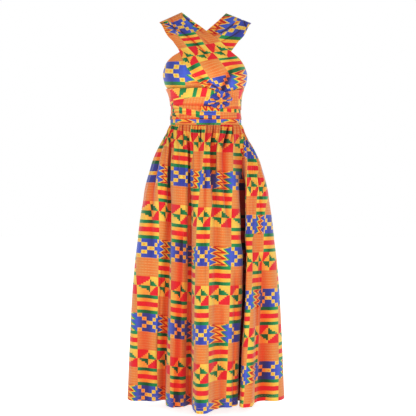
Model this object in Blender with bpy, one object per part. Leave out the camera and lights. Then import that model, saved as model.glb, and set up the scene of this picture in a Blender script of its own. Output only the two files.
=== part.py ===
# Maxi dress, worn form with no wearer. Metres, +Z up, front towards -Y.
# The origin is the middle of the two shoulder crests, where the wearer holds the dress up.
import bpy
import math
import numpy as np

# Driving sizes
WALL = 0.0016
SEAM_GAP = 0.0003
BAND_TOP = -0.3720
BAND_BOTTOM = -0.3940
HEM_Z = -1.4060
FRONT_DIP = 0.008
GATHER_DEPTH = 0.0026
STRAP_RIGHT_OFFSET = 0.0006
STRAP_LEFT_OFFSET = 0.0040
WRAP_LOWER_OFFSETS = (0.0041, 0.0064)
WRAP_UPPER_OFFSETS = (0.0089, 0.0065)
TWIST_OFFSET = 0.0123

# General figure the bodice lies on: height, middle, half width, depth to front, depth to back
TORSO = [
    # z, mid_x, half_width, front, back
    (-0.410, 0.0000, 0.1275, 0.098, 0.087),
    (-0.372, -0.0010, 0.1265, 0.096, 0.085),
    (-0.348, -0.0010, 0.1220, 0.094, 0.083),
    (-0.318, -0.0010, 0.1215, 0.098, 0.084),
    (-0.289, -0.0020, 0.1260, 0.109, 0.087),
    (-0.266, -0.0030, 0.1345, 0.124, 0.091),
    (-0.244, -0.0040, 0.1465, 0.139, 0.095),
    (-0.215, -0.0050, 0.1520, 0.148, 0.098),
    (-0.185, -0.0050, 0.1500, 0.143, 0.099),
    (-0.150, -0.0040, 0.1500, 0.127, 0.100),
    (-0.118, -0.0020, 0.1520, 0.110, 0.098),
    (-0.085, 0.0000, 0.1580, 0.092, 0.091),
    (-0.055, 0.0000, 0.1650, 0.070, 0.075),
    (-0.025, 0.0000, 0.1720, 0.042, 0.045),
]
TORSO_POWER = 2.2

# Skirt outline: height and half width of the hanging cloth
SKIRT_OUTLINE = [
    # z, half_width
    (-0.3940, 0.1310),
    (-0.4144, 0.1440),
    (-0.4514, 0.1640),
    (-0.4884, 0.1805),
    (-0.5254, 0.1940),
    (-0.5624, 0.2035),
    (-0.5994, 0.2145),
    (-0.6364, 0.2235),
    (-0.6734, 0.2290),
    (-0.7474, 0.2415),
    (-0.8214, 0.2500),
    (-0.8954, 0.2590),
    (-1.0434, 0.2720),
    (-1.1914, 0.2810),
    (-1.3394, 0.2885),
    (-1.4060, 0.2920),
]

# Fold lines of the skirt, round from the left side seam. The waist angle is from the front,
# positive to the viewer's right. Then x and y at the hip, the thigh and the hem.
FOLD_HEIGHTS = (-0.394, -0.500, -0.780, -1.406)
FOLDS = [
    # name, waist_angle, hip_x, hip_y, thigh_x, thigh_y, hem_x, hem_y
    ("left_side_seam", -112.0, -0.1850, 0.020, -0.2490, 0.020, -0.2920, 0.030),
    ("left_wing_edge", -102.0, -0.1760, -0.030, -0.2340, -0.040, -0.2747, -0.035),
    ("left_wing", -92.0, -0.1560, -0.070, -0.1957, -0.070, -0.2190, -0.050),
    ("left_wing_inner", -82.0, -0.1406, -0.088, -0.1560, -0.082, -0.1820, -0.045),
    ("left_valley", -72.0, -0.1280, -0.078, -0.1345, -0.068, -0.1595, -0.022),
    ("left_step", -62.0, -0.1182, -0.105, -0.1205, -0.120, -0.1390, -0.128),
    ("left_lobe", -52.0, -0.0998, -0.122, -0.1026, -0.147, -0.1195, -0.166),
    ("left_lobe_inner", -40.0, -0.0748, -0.132, -0.0775, -0.158, -0.0870, -0.160),
    ("middle_valley", -28.0, -0.0563, -0.120, -0.0563, -0.130, -0.0580, -0.108),
    ("middle_step", -19.0, -0.0456, -0.138, -0.0440, -0.175, -0.0425, -0.203),
    ("front_lobe", -10.0, -0.0245, -0.147, -0.0275, -0.197, -0.0234, -0.258),
    ("front_lobe_top", -1.0, -0.0033, -0.149, -0.0031, -0.200, -0.0029, -0.256),
    ("front_lobe_right", 8.0, 0.0144, -0.144, 0.0179, -0.190, 0.0143, -0.225),
    ("upper_valley", 16.0, 0.0287, -0.126, 0.0355, -0.166, 0.0354, -0.182),
    ("right_lobe_inner", 26.0, 0.0463, -0.144, 0.0566, -0.178, 0.0568, -0.163),
    ("right_lobe", 38.0, 0.0677, -0.137, 0.0851, -0.160, 0.0889, -0.152),
    ("right_lobe_outer", 54.0, 0.1000, -0.116, 0.1130, -0.138, 0.1010, -0.136),
    ("front_seam", 70.0, 0.1280, -0.056, 0.1340, -0.055, 0.1205, -0.050),
    ("side_lobe", 84.0, 0.1430, -0.092, 0.1500, -0.124, 0.1400, -0.157),
    ("side_lobe_outer", 92.0, 0.1558, -0.078, 0.1651, -0.112, 0.1564, -0.148),
    ("side_valley", 99.0, 0.1616, -0.062, 0.1807, -0.080, 0.1745, -0.090),
    ("right_wing_inner", 106.0, 0.1680, -0.050, 0.1957, -0.075, 0.1895, -0.055),
    ("right_wing", 113.0, 0.1740, -0.036, 0.2147, -0.062, 0.2190, -0.048),
    ("right_wing_outer", 119.0, 0.1795, -0.022, 0.2302, -0.045, 0.2525, -0.044),
    ("right_side_seam", 126.0, 0.1850, 0.015, 0.2490, 0.020, 0.2920, 0.022),
    ("back_1", 133.6, 0.1780, 0.045, 0.2380, 0.055, 0.2720, 0.075),
    ("back_valley_1", 141.2, 0.1650, 0.062, 0.2150, 0.075, 0.2400, 0.085),
    ("back_2", 148.9, 0.1450, 0.085, 0.1900, 0.110, 0.2150, 0.150),
    ("back_3", 156.5, 0.1200, 0.102, 0.1500, 0.135, 0.1650, 0.165),
    ("back_valley_2", 164.1, 0.0970, 0.106, 0.1220, 0.133, 0.1350, 0.150),
    ("back_4", 171.8, 0.0750, 0.122, 0.0950, 0.165, 0.1050, 0.215),
    ("back_5", 179.4, 0.0420, 0.129, 0.0520, 0.175, 0.0550, 0.225),
    ("back_valley_3", 187.0, 0.0180, 0.120, 0.0220, 0.158, 0.0250, 0.190),
    ("back_6", 194.6, -0.0080, 0.132, -0.0100, 0.180, -0.0100, 0.235),
    ("back_7", 202.2, -0.0420, 0.128, -0.0550, 0.172, -0.0600, 0.220),
    ("back_valley_4", 209.9, -0.0700, 0.112, -0.0920, 0.145, -0.1000, 0.175),
    ("back_8", 217.5, -0.0940, 0.114, -0.1220, 0.155, -0.1350, 0.205),
    ("back_9", 225.1, -0.1220, 0.098, -0.1650, 0.122, -0.1850, 0.150),
    ("back_valley_5", 232.8, -0.1460, 0.076, -0.1950, 0.088, -0.2250, 0.098),
    ("back_10", 240.4, -0.1660, 0.058, -0.2260, 0.070, -0.2620, 0.100),
]
PANELS = [
    # name, first_fold, last_fold
    ("skirt_front_panel", 0, 17),
    ("skirt_side_panel", 17, 24),
    ("skirt_back_panel", 24, 40),
]
GATHER_RINGS = (-0.3943, -0.4100, -0.4400)
LOWER_RINGS = (-0.4850, -0.5500, -0.6150, -0.6900, -0.7800, -0.9000, -1.0300, -1.1700, -1.2900, -1.4060)
COLUMNS_PER_FOLD = 3

# Strap over the left shoulder, from under the waist wraps in front, over the shoulder, down the back
STRAP_LEFT = [
    # left edge x, y, z, right edge x, y, z
    (0.0650, -0.105, -0.3250, 0.1280, 0.035, -0.3180),
    (0.0466, -0.130, -0.2896, 0.1370, 0.038, -0.2850),
    (0.0040, -0.140, -0.2766, 0.1480, 0.030, -0.2550),
    (-0.0458, -0.145, -0.2311, 0.1530, 0.008, -0.2260),
    (-0.0746, -0.125, -0.1821, 0.1424, -0.050, -0.1923),
    (-0.0850, -0.110, -0.1570, 0.1227, -0.090, -0.1620),
    (-0.0934, -0.095, -0.1341, 0.0898, -0.110, -0.1367),
    (-0.1120, -0.075, -0.1040, 0.0450, -0.100, -0.0980),
    (-0.1312, -0.050, -0.0773, 0.0000, -0.078, -0.0620),
    (-0.1500, -0.030, -0.0480, -0.0450, -0.048, -0.0220),
    (-0.1640, -0.014, -0.0260, -0.0790, -0.018, 0.0090),
    (-0.1700, 0.004, -0.0185, -0.0888, 0.004, 0.0185),
    (-0.1550, 0.026, -0.0290, -0.0750, 0.028, 0.0080),
    (-0.1300, 0.052, -0.0620, -0.0520, 0.060, -0.0300),
    (-0.0940, 0.075, -0.1050, -0.0140, 0.083, -0.0800),
    (-0.0600, 0.090, -0.1500, 0.0170, 0.098, -0.1250),
    (-0.0250, 0.096, -0.1950, 0.0520, 0.097, -0.1700),
    (0.0100, 0.094, -0.2400, 0.0790, 0.085, -0.2150),
    (0.0420, 0.086, -0.2850, 0.1030, 0.070, -0.2580),
    (0.0600, 0.075, -0.3220, 0.1180, 0.042, -0.3000),
]
# Strap over the right shoulder, edges named as in the strap it crosses, so inner edge second
STRAP_RIGHT = [
    # outer edge x, y, z, inner edge x, y, z
    (-0.0700, -0.105, -0.3250, -0.1320, 0.035, -0.3180),
    (-0.0530, -0.130, -0.2896, -0.1420, 0.038, -0.2850),
    (-0.0110, -0.140, -0.2766, -0.1540, 0.030, -0.2550),
    (0.0390, -0.145, -0.2311, -0.1600, 0.008, -0.2230),
    (0.0700, -0.125, -0.1821, -0.1500, -0.050, -0.1830),
    (0.0820, -0.110, -0.1570, -0.1260, -0.090, -0.1560),
    (0.0920, -0.095, -0.1341, -0.0900, -0.110, -0.1360),
    (0.1110, -0.075, -0.1040, -0.0450, -0.100, -0.0980),
    (0.1300, -0.050, -0.0773, 0.0000, -0.078, -0.0620),
    (0.1470, -0.030, -0.0480, 0.0380, -0.048, -0.0240),
    (0.1605, -0.014, -0.0260, 0.0660, -0.018, 0.0080),
    (0.1665, 0.004, -0.0185, 0.0740, 0.004, 0.0185),
    (0.1525, 0.026, -0.0290, 0.0640, 0.028, 0.0080),
    (0.1280, 0.052, -0.0620, 0.0510, 0.060, -0.0300),
    (0.0920, 0.075, -0.1050, 0.0140, 0.083, -0.0800),
    (0.0590, 0.090, -0.1500, -0.0170, 0.098, -0.1250),
    (0.0240, 0.096, -0.1950, -0.0520, 0.097, -0.1700),
    (-0.0110, 0.094, -0.2400, -0.0790, 0.085, -0.2150),
    (-0.0430, 0.086, -0.2850, -0.1030, 0.070, -0.2580),
    (-0.0610, 0.075, -0.3220, -0.1190, 0.042, -0.3000),
]
STRAP_WIDTH_STEPS = 11

# Waist wraps: angle round from the front, height of the bottom edge and of the top edge
WRAP_LOWER = [
    # angle, bottom_z, top_z
    (-180.0, -0.3745, -0.3240),
    (-90.0, -0.3745, -0.3180),
    (-30.0, -0.3745, -0.3190),
    (30.0, -0.3745, -0.3300),
    (90.0, -0.3745, -0.3340),
    (180.0, -0.3745, -0.3240),
]
WRAP_UPPER_LEFT = [
    # angle, bottom_z, top_z
    (22.0, -0.3270, -0.2850),
    (5.0, -0.3255, -0.2700),
    (-30.0, -0.3225, -0.2640),
    (-90.0, -0.3215, -0.2590),
    (-140.0, -0.3240, -0.2640),
    (-179.8, -0.3272, -0.2700),
]
WRAP_UPPER_RIGHT = [
    # angle, bottom_z, top_z
    (23.0, -0.3300, -0.2830),
    (40.0, -0.3345, -0.2720),
    (60.0, -0.3365, -0.2640),
    (90.0, -0.3375, -0.2590),
    (140.0, -0.3315, -0.2640),
    (179.8, -0.3272, -0.2700),
]
WRAP_PLEATS = (0.0, 0.0020, 0.0004, 0.0022, 0.0)
TWIST_MIDDLE = (25.0, -0.3040)
TWIST_HALF_ANGLE = 23.0
TWIST_HALF_HEIGHT = 0.036
TWIST_FOLDS = 7
TWIST_ROUND_STEPS = 42

MATERIALS = [
    # node, material, colour
    ("skirt_front_panel", "front_panel_print", (0.80, 0.24, 0.06)),
    ("skirt_side_panel", "side_panel_print", (0.78, 0.40, 0.08)),
    ("skirt_back_panel", "back_panel_print", (0.80, 0.24, 0.06)),
    ("waistband", "waistband_print", (0.10, 0.14, 0.45)),
    ("strap_left", "strap_left_print", (0.80, 0.26, 0.06)),
    ("strap_right", "strap_right_print", (0.82, 0.30, 0.06)),
    ("wrap_lower", "wrap_lower_print", (0.75, 0.22, 0.05)),
    ("wrap_upper_left", "wrap_left_print", (0.75, 0.28, 0.05)),
    ("wrap_upper_right", "wrap_right_print", (0.78, 0.22, 0.05)),
    ("wrap_twist", "wrap_twist_print", (0.80, 0.22, 0.05)),
]


def smooth(value, start, end):
    """Zero at start, one at end, with a soft run between."""
    part = min(max((value - start) / (end - start), 0.0), 1.0)
    return part * part * (3.0 - 2.0 * part)


def through(keys, values, where):
    """Soft curve through a table: values at where, for rising keys."""
    keys = np.asarray(keys, float)
    values = np.asarray(values, float)
    where = min(max(where, keys[0]), keys[-1])
    cell = int(np.searchsorted(keys, where) - 1)
    cell = min(max(cell, 0), len(keys) - 2)
    step = keys[cell + 1] - keys[cell]
    part = (where - keys[cell]) / step

    def slope(index):
        before = max(index - 1, 0)
        after = min(index + 1, len(keys) - 1)
        return (values[after] - values[before]) / (keys[after] - keys[before])

    first = values[cell]
    last = values[cell + 1]
    slope_first = slope(cell) * step
    slope_last = slope(cell + 1) * step
    cube = part * part * part
    square = part * part
    return (
        (2 * cube - 3 * square + 1) * first
        + (cube - 2 * square + part) * slope_first
        + (3 * square - 2 * cube) * last
        + (cube - square) * slope_last
    )


def torso_row(height):
    """Middle, half width, front depth and back depth of the figure at a height."""
    table = np.array(TORSO)
    return through(table[:, 0], table[:, 1:], height)


def torso_point(angle, height):
    """Point of the figure at an angle from the front, positive to the viewer's right."""
    mid, half, front, back = torso_row(height)
    depth = front if math.cos(angle) > 0 else back
    across = abs(math.sin(angle)) / half
    along = abs(math.cos(angle)) / depth
    reach = (across ** TORSO_POWER + along ** TORSO_POWER) ** (-1.0 / TORSO_POWER)
    return np.array((mid + reach * math.sin(angle), -reach * math.cos(angle), height))


def torso_normal(angle, height):
    """Outward direction of the figure there."""
    turn = 0.02
    rise = 0.004
    round_way = torso_point(angle + turn, height) - torso_point(angle - turn, height)
    up_way = torso_point(angle, height + rise) - torso_point(angle, height - rise)
    normal = np.cross(round_way, up_way)
    return normal / np.linalg.norm(normal)


def on_torso(point):
    """The point moved out to the figure, left free near the shoulder crest."""
    weight = 1.0 - smooth(point[2], -0.065, -0.022)
    if weight <= 0.0:
        return point
    mid = torso_row(point[2])[0]
    angle = math.atan2(point[0] - mid, -point[1])
    return point + weight * (torso_point(angle, point[2]) - point)


def strap_normals(grid):
    """Directions out from a strap: the figure's own below, the cloth's own over the shoulder."""
    along = np.gradient(grid, axis=0)
    across = np.gradient(grid, axis=1)
    normals = np.cross(along, across)
    crest = int(np.argmax(grid[:, 0, 2]))
    if normals[crest, 0][2] < 0:
        normals = -normals
    length = np.linalg.norm(normals, axis=2, keepdims=True)
    normals = normals / np.maximum(length, 1e-12)
    for row in range(grid.shape[0]):
        for side in range(grid.shape[1]):
            point = grid[row, side]
            weight = 1.0 - smooth(point[2], -0.065, -0.022)
            if weight > 0.0:
                mid = torso_row(point[2])[0]
                own = torso_normal(math.atan2(point[0] - mid, -point[1]), point[2])
                mixed = normals[row, side] * (1.0 - weight) + own * weight
                normals[row, side] = mixed / np.linalg.norm(mixed)
    return normals


def volume_of(points, faces):
    """Signed volume inside the faces."""
    total = 0.0
    for face in faces:
        first = points[face[0]]
        for index in range(1, len(face) - 1):
            total += np.dot(first, np.cross(points[face[index]], points[face[index + 1]]))
    return total / 6.0


def shell_faces(outer, inner):
    """Closed wall between two stacks of open rows. A row may have twice the steps of the next."""
    points = []
    outer_at = []
    inner_at = []
    for row in outer:
        outer_at.append(list(range(len(points), len(points) + len(row))))
        points.extend(row)
    for row in inner:
        inner_at.append(list(range(len(points), len(points) + len(row))))
        points.extend(row)
    faces = []

    def band(upper, lower, turned):
        new = []
        if len(upper) == len(lower):
            for index in range(len(upper) - 1):
                new.append((upper[index], lower[index], lower[index + 1]))
                new.append((upper[index], lower[index + 1], upper[index + 1]))
        else:
            for index in range(len(lower) - 1):
                fine = upper[2 * index:2 * index + 3]
                new.append((lower[index], fine[1], fine[0]))
                new.append((lower[index], lower[index + 1], fine[1]))
                new.append((lower[index + 1], fine[2], fine[1]))
        for face in new:
            faces.append(face[::-1] if turned else face)

    for index in range(len(outer) - 1):
        band(outer_at[index], outer_at[index + 1], False)
        band(inner_at[index], inner_at[index + 1], True)
    band(inner_at[0], outer_at[0], False)
    band(outer_at[-1], inner_at[-1], False)
    for index in range(len(outer) - 1):
        for end in (0, -1):
            near = (outer_at[index][end], outer_at[index + 1][end])
            far = (inner_at[index][end], inner_at[index + 1][end])
            one = (near[0], far[0], far[1])
            two = (near[0], far[1], near[1])
            faces.append(one if end == 0 else one[::-1])
            faces.append(two if end == 0 else two[::-1])
    return points, faces


def ring_faces(outer, inner):
    """Closed wall between two stacks of rows that close on themselves."""
    rows = len(outer)
    count = len(outer[0])
    points = []
    for row in outer:
        points.extend(row)
    for row in inner:
        points.extend(row)
    loops = []
    for row in range(rows):
        loops.append([row * count + index for index in range(count)])
    for row in reversed(range(rows)):
        loops.append([(rows + row) * count + index for index in range(count)])
    faces = []
    for index, loop in enumerate(loops):
        other = loops[(index + 1) % len(loops)]
        for step in range(count):
            after = (step + 1) % count
            faces.append((loop[step], other[step], other[after]))
            faces.append((loop[step], other[after], loop[after]))
    return points, faces


def add_part(name, points, faces):
    """One named solid with its own material."""
    points = [np.asarray(point, float) for point in points]
    if volume_of(points, faces) < 0:
        faces = [face[::-1] for face in faces]
    mesh = bpy.data.meshes.new(name)
    mesh.from_pydata([tuple(float(value) for value in point) for point in points], [], faces)
    mesh.update()
    mesh.shade_smooth()
    mesh.set_sharp_from_angle(angle=math.radians(50))
    part = bpy.data.objects.new(name, mesh)
    bpy.context.scene.collection.objects.link(part)
    for node, material_name, colour in MATERIALS:
        if node == name:
            material = bpy.data.materials.new(material_name)
            material.use_nodes = True
            shader = material.node_tree.nodes["Principled BSDF"]
            shader.inputs["Base Color"].default_value = (*colour, 1.0)
            shader.inputs["Roughness"].default_value = 0.75
            mesh.materials.append(material)
    return part


def fold_keys():
    """Each fold line at the waist and three heights, as shares of the outline there."""
    outline = np.array(SKIRT_OUTLINE)[::-1]
    rows = []
    for row in FOLDS:
        angle = math.radians(row[1])
        waist_depth = 0.763 if math.cos(angle) > 0 else 0.672
        share = [(math.sin(angle), -waist_depth * math.cos(angle))]
        for key, height in enumerate(FOLD_HEIGHTS[1:]):
            half = through(outline[:, 0], outline[:, 1], height)
            share.append((row[2 + 2 * key] / half, row[3 + 2 * key] / half))
        rows.append(share)
    return np.array(rows)


FOLD_SHARES = fold_keys()


def skirt_ring(height):
    """Closed ring of cloth points at a height, three steps to a fold line."""
    outline = np.array(SKIRT_OUTLINE)[::-1]
    half = through(outline[:, 0], outline[:, 1], height)
    keys = np.array(FOLD_HEIGHTS)[::-1]
    shares = np.transpose(FOLD_SHARES, (1, 0, 2))[::-1]
    knots = through(keys, shares, height) * half
    count = len(knots)
    gaps = np.linalg.norm(np.roll(knots, -1, axis=0) - knots, axis=1)
    before = np.roll(gaps, 1)
    forward = (np.roll(knots, -1, axis=0) - knots) / gaps[:, None]
    backward = np.roll(forward, 1, axis=0)
    slopes = (forward * before[:, None] + backward * gaps[:, None]) / (gaps + before)[:, None]

    def ring_point(place):
        cell = int(place) % count
        part = place - int(place)
        other = (cell + 1) % count
        cube = part * part * part
        square = part * part
        return (
            (2 * cube - 3 * square + 1) * knots[cell]
            + (cube - 2 * square + part) * slopes[cell] * gaps[cell]
            + (3 * square - 2 * cube) * knots[other]
            + (cube - square) * slopes[other] * gaps[cell]
        )

    return ring_point


def gather_wave(step, height, spacing):
    """Small gathers below the waistband: out, level, in, level, fading with height."""
    wave = (0.0, 1.0, 0.0, -1.0)[step % 4]
    number = step // 4
    uneven = 0.75 + 0.25 * math.sin(2.4 * number + 1.0)
    grow = smooth(height, -0.390, -0.412)
    fade = 1.0 - smooth(height, -0.430, -0.500)
    depth = min(GATHER_DEPTH, 0.8 * spacing)
    return depth * wave * uneven * (0.45 + 0.55 * grow) * fade


def dip(angle, height):
    """The waist line hangs a little lower in front."""
    fade = 1.0 - smooth(height, -0.42, -0.75)
    return FRONT_DIP * max(math.cos(angle), 0.0) * fade


def skirt_rows(first, last, height, steps):
    """Outer and inner row of one panel at a height."""
    ring_point = skirt_ring(height)
    places = [first + index / steps for index in range((last - first) * steps + 1)]
    turn = 0.02
    outer = []
    inner = []
    for number, place in enumerate(places):
        here = ring_point(place % len(FOLDS))
        ahead = ring_point((place + turn) % len(FOLDS))
        behind = ring_point((place - turn) % len(FOLDS))
        spacing = np.linalg.norm(ahead - behind) / (2.0 * turn * steps)
        if number == 0:
            ahead = ring_point((place + 1.0 / COLUMNS_PER_FOLD) % len(FOLDS))
            behind = here
        if number == len(places) - 1:
            ahead = here
            behind = ring_point((place - 1.0 / COLUMNS_PER_FOLD) % len(FOLDS))
        tangent = (ahead - behind) / np.linalg.norm(ahead - behind)
        normal = np.array((tangent[1], -tangent[0]))
        if number == 0:
            here = here + tangent * SEAM_GAP
        if number == len(places) - 1:
            here = here - tangent * SEAM_GAP
        if steps > COLUMNS_PER_FOLD:
            here = here + normal * gather_wave(first * steps + number, height, spacing)
        angle = math.atan2(here[0], -here[1])
        low = height - dip(angle, height)
        outer.append(np.array((here[0], here[1], low)))
        back = here - normal * WALL
        inner.append(np.array((back[0], back[1], low)))
    return outer, inner


def build_skirt():
    for name, first, last in PANELS:
        outer = []
        inner = []
        for height in GATHER_RINGS:
            out_row, in_row = skirt_rows(first, last, height, 2 * COLUMNS_PER_FOLD)
            outer.append(out_row)
            inner.append(in_row)
        for height in LOWER_RINGS:
            out_row, in_row = skirt_rows(first, last, height, COLUMNS_PER_FOLD)
            outer.append(out_row)
            inner.append(in_row)
        add_part(name, *shell_faces(outer, inner))


def build_waistband():
    count = 60
    outer = []
    inner = []
    for height in (BAND_TOP, 0.5 * (BAND_TOP + BAND_BOTTOM), BAND_BOTTOM):
        out_row = []
        in_row = []
        for index in range(count):
            angle = 2.0 * math.pi * index / count
            base = torso_point(angle, height)
            normal = torso_normal(angle, height)
            drop = np.array((0.0, 0.0, dip(angle, height)))
            out_row.append(base + normal * (0.0016 + WALL + 0.0004) - drop)
            in_row.append(base + normal * 0.0016 - drop)
        outer.append(out_row)
        inner.append(in_row)
    add_part("waistband", *ring_faces(outer, inner))


def strap_grid(table, width_steps):
    """Points of a strap on the figure, front end first, first edge to second edge."""
    table = np.array(table)
    keys = np.arange(len(table), dtype=float)
    places = [0.5 * step for step in range(2 * len(table) - 1)]
    grid = []
    for where in places:
        edges = through(keys, table, where)
        row = []
        for side in range(width_steps):
            share = side / (width_steps - 1)
            row.append(on_torso((1 - share) * edges[:3] + share * edges[3:]))
        grid.append(row)
    return np.array(grid)


def build_strap(name, table, offset):
    grid = strap_grid(table, STRAP_WIDTH_STEPS)
    normals = strap_normals(grid)
    inner = grid + normals * offset
    outer = grid + normals * (offset + WALL)
    add_part(name, *shell_faces(list(outer), list(inner)))


def wrap_edges(table, angle):
    table = np.array(table)
    if table[0, 0] > table[-1, 0]:
        table = table[::-1]
    return through(table[:, 0], table[:, 1:], angle)


def wrap_rows(table, angles, offsets):
    """Outer and inner rows of a wrap, bottom edge first. It leans between two offsets."""
    outer = []
    inner = []
    for level, pleat in enumerate(WRAP_PLEATS):
        share = level / (len(WRAP_PLEATS) - 1)
        out_row = []
        in_row = []
        for degrees in angles:
            bottom, top = wrap_edges(table, degrees)
            angle = math.radians(degrees)
            height = bottom + (top - bottom) * share
            base = torso_point(angle, height)
            normal = torso_normal(angle, height)
            drop = np.array((0.0, 0.0, FRONT_DIP * max(math.cos(angle), 0.0)))
            lift = offsets[0] + (offsets[1] - offsets[0]) * share + pleat
            in_row.append(base + normal * lift - drop)
            out_row.append(base + normal * (lift + WALL) - drop)
        outer.append(out_row)
        inner.append(in_row)
    return outer, inner


def build_wraps():
    count = 60
    angles = [-180.0 + 360.0 * index / count for index in range(count)]
    outer, inner = wrap_rows(WRAP_LOWER, angles, WRAP_LOWER_OFFSETS)
    add_part("wrap_lower", *ring_faces(outer, inner))
    for name, table in (("wrap_upper_left", WRAP_UPPER_LEFT), ("wrap_upper_right", WRAP_UPPER_RIGHT)):
        start = table[0][0]
        end = table[-1][0]
        angles = [start + (end - start) * index / 34 for index in range(35)]
        outer, inner = wrap_rows(table, angles, WRAP_UPPER_OFFSETS)
        add_part(name, *shell_faces(outer, inner))


def twist_lift(reach, turn):
    """How far the twist stands out: pinched in the middle, folds that spread to a low rim."""
    dome = 0.0095 * math.sin(math.pi * min(reach * 0.92 + 0.08, 1.0)) ** 0.8
    fold = 0.0024 * math.cos(TWIST_FOLDS * turn) * math.sin(math.pi * min(reach, 1.0))
    return TWIST_OFFSET + dome + fold


def build_twist():
    levels = (0.0, 0.28, 0.58, 0.84, 1.0)
    points = []
    faces = []
    loops = {}
    for side, extra in (("outer", WALL), ("inner", 0.0)):
        for level, reach in enumerate(levels):
            count = 1 if level == 0 else TWIST_ROUND_STEPS
            loops[side, level] = list(range(len(points), len(points) + count))
            for index in range(count):
                turn = 2.0 * math.pi * index / TWIST_ROUND_STEPS
                degrees = TWIST_MIDDLE[0] + TWIST_HALF_ANGLE * reach * math.cos(turn)
                height = TWIST_MIDDLE[1] + TWIST_HALF_HEIGHT * reach * math.sin(turn)
                angle = math.radians(degrees)
                base = torso_point(angle, height)
                normal = torso_normal(angle, height)
                drop = np.array((0.0, 0.0, FRONT_DIP * max(math.cos(angle), 0.0)))
                points.append(base + normal * (twist_lift(reach, turn) + extra) - drop)
    for side in ("outer", "inner"):
        turned = side == "inner"
        new = []
        for index in range(TWIST_ROUND_STEPS):
            after = (index + 1) % TWIST_ROUND_STEPS
            new.append((loops[side, 0][0], loops[side, 1][index], loops[side, 1][after]))
            for level in range(1, len(levels) - 1):
                near = loops[side, level]
                far = loops[side, level + 1]
                new.append((near[index], far[index], far[after]))
                new.append((near[index], far[after], near[after]))
        faces.extend([face[::-1] for face in new] if turned else new)
    near = loops["outer", len(levels) - 1]
    far = loops["inner", len(levels) - 1]
    for index in range(TWIST_ROUND_STEPS):
        after = (index + 1) % TWIST_ROUND_STEPS
        faces.append((near[index], far[index], far[after]))
        faces.append((near[index], far[after], near[after]))
    add_part("wrap_twist", points, faces)


for old in list(bpy.data.objects):
    bpy.data.objects.remove(old, do_unlink=True)

build_skirt()
build_waistband()
build_strap("strap_right", STRAP_RIGHT, STRAP_RIGHT_OFFSET)
build_strap("strap_left", STRAP_LEFT, STRAP_LEFT_OFFSET)
build_wraps()
build_twist()
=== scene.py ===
# %% [markdown]
# # Maxi dress in a strip pattern print
# A long wrap dress. Two wide straps cross over the bust and go on round the waist as two wraps, with
# a twist in front, and a full skirt hangs from a waistband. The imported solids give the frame, and
# each is shown here by a finer cloth shell on the same form. The dress is filled out, its front faces
# -Y, and lengths are in metres.

import math

import bpy
import numpy as np
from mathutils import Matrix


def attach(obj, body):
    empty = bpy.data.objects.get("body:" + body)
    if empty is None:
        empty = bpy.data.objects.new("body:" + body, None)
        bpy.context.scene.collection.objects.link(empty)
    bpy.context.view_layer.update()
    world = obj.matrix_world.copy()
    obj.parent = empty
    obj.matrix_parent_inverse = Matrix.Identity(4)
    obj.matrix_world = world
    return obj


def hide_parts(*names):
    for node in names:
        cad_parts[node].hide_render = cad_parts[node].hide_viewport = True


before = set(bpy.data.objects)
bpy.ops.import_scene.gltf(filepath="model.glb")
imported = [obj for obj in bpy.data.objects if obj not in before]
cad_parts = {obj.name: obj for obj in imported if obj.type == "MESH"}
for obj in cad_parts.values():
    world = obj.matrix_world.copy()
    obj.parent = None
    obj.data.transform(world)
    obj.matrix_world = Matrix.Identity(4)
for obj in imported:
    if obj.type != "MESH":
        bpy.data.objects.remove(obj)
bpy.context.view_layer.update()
print("loaded", sorted(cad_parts))

# %% [markdown]
# ## Soft curves
# Cloth has no corners, so each outline and fold runs softly through a short table of places. Spline
# objects could give such curves too. Plain functions were chosen, because one curve then serves
# heights, widths and print alike.


# %% Soft curves
def smooth(value, start, end):
    """Zero at start, one at end, with a soft run between."""
    part = np.clip((value - start) / (end - start), 0.0, 1.0)
    return part * part * (3.0 - 2.0 * part)


def through(keys, values, where):
    """Soft curve through a table: values at each place, for rising keys."""
    keys = np.asarray(keys, float)
    values = np.asarray(values, float)
    where = np.clip(np.asarray(where, float), keys[0], keys[-1])
    cell = np.clip(np.searchsorted(keys, where) - 1, 0, len(keys) - 2)
    before = np.maximum(np.arange(len(keys)) - 1, 0)
    after = np.minimum(np.arange(len(keys)) + 1, len(keys) - 1)
    shape = (-1,) + (1,) * (values.ndim - 1)
    slopes = (values[after] - values[before]) / (keys[after] - keys[before]).reshape(shape)
    step = keys[cell + 1] - keys[cell]
    part = (where - keys[cell]) / step
    more = (1,) * (values.ndim - 1)
    part = part.reshape(np.shape(part) + more)
    step = np.reshape(step, np.shape(step) + more)
    cube = part ** 3
    square = part ** 2
    return (
        (2 * cube - 3 * square + 1) * values[cell]
        + (cube - 2 * square + part) * slopes[cell] * step
        + (3 * square - 2 * cube) * values[cell + 1]
        + (cube - square) * slopes[cell + 1] * step
    )


print("halfway along a soft start", float(smooth(0.5, 0.0, 1.0)))

# %% [markdown]
# ## The general figure
# Above the waist a dress takes its shape from what it lies on. A cloth simulation over a figure could
# find that shape. Here a table of rounded sections stands for a general figure, and each piece is
# lifted off it by its own offset, so that upper layers lie on lower ones exactly.

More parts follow.
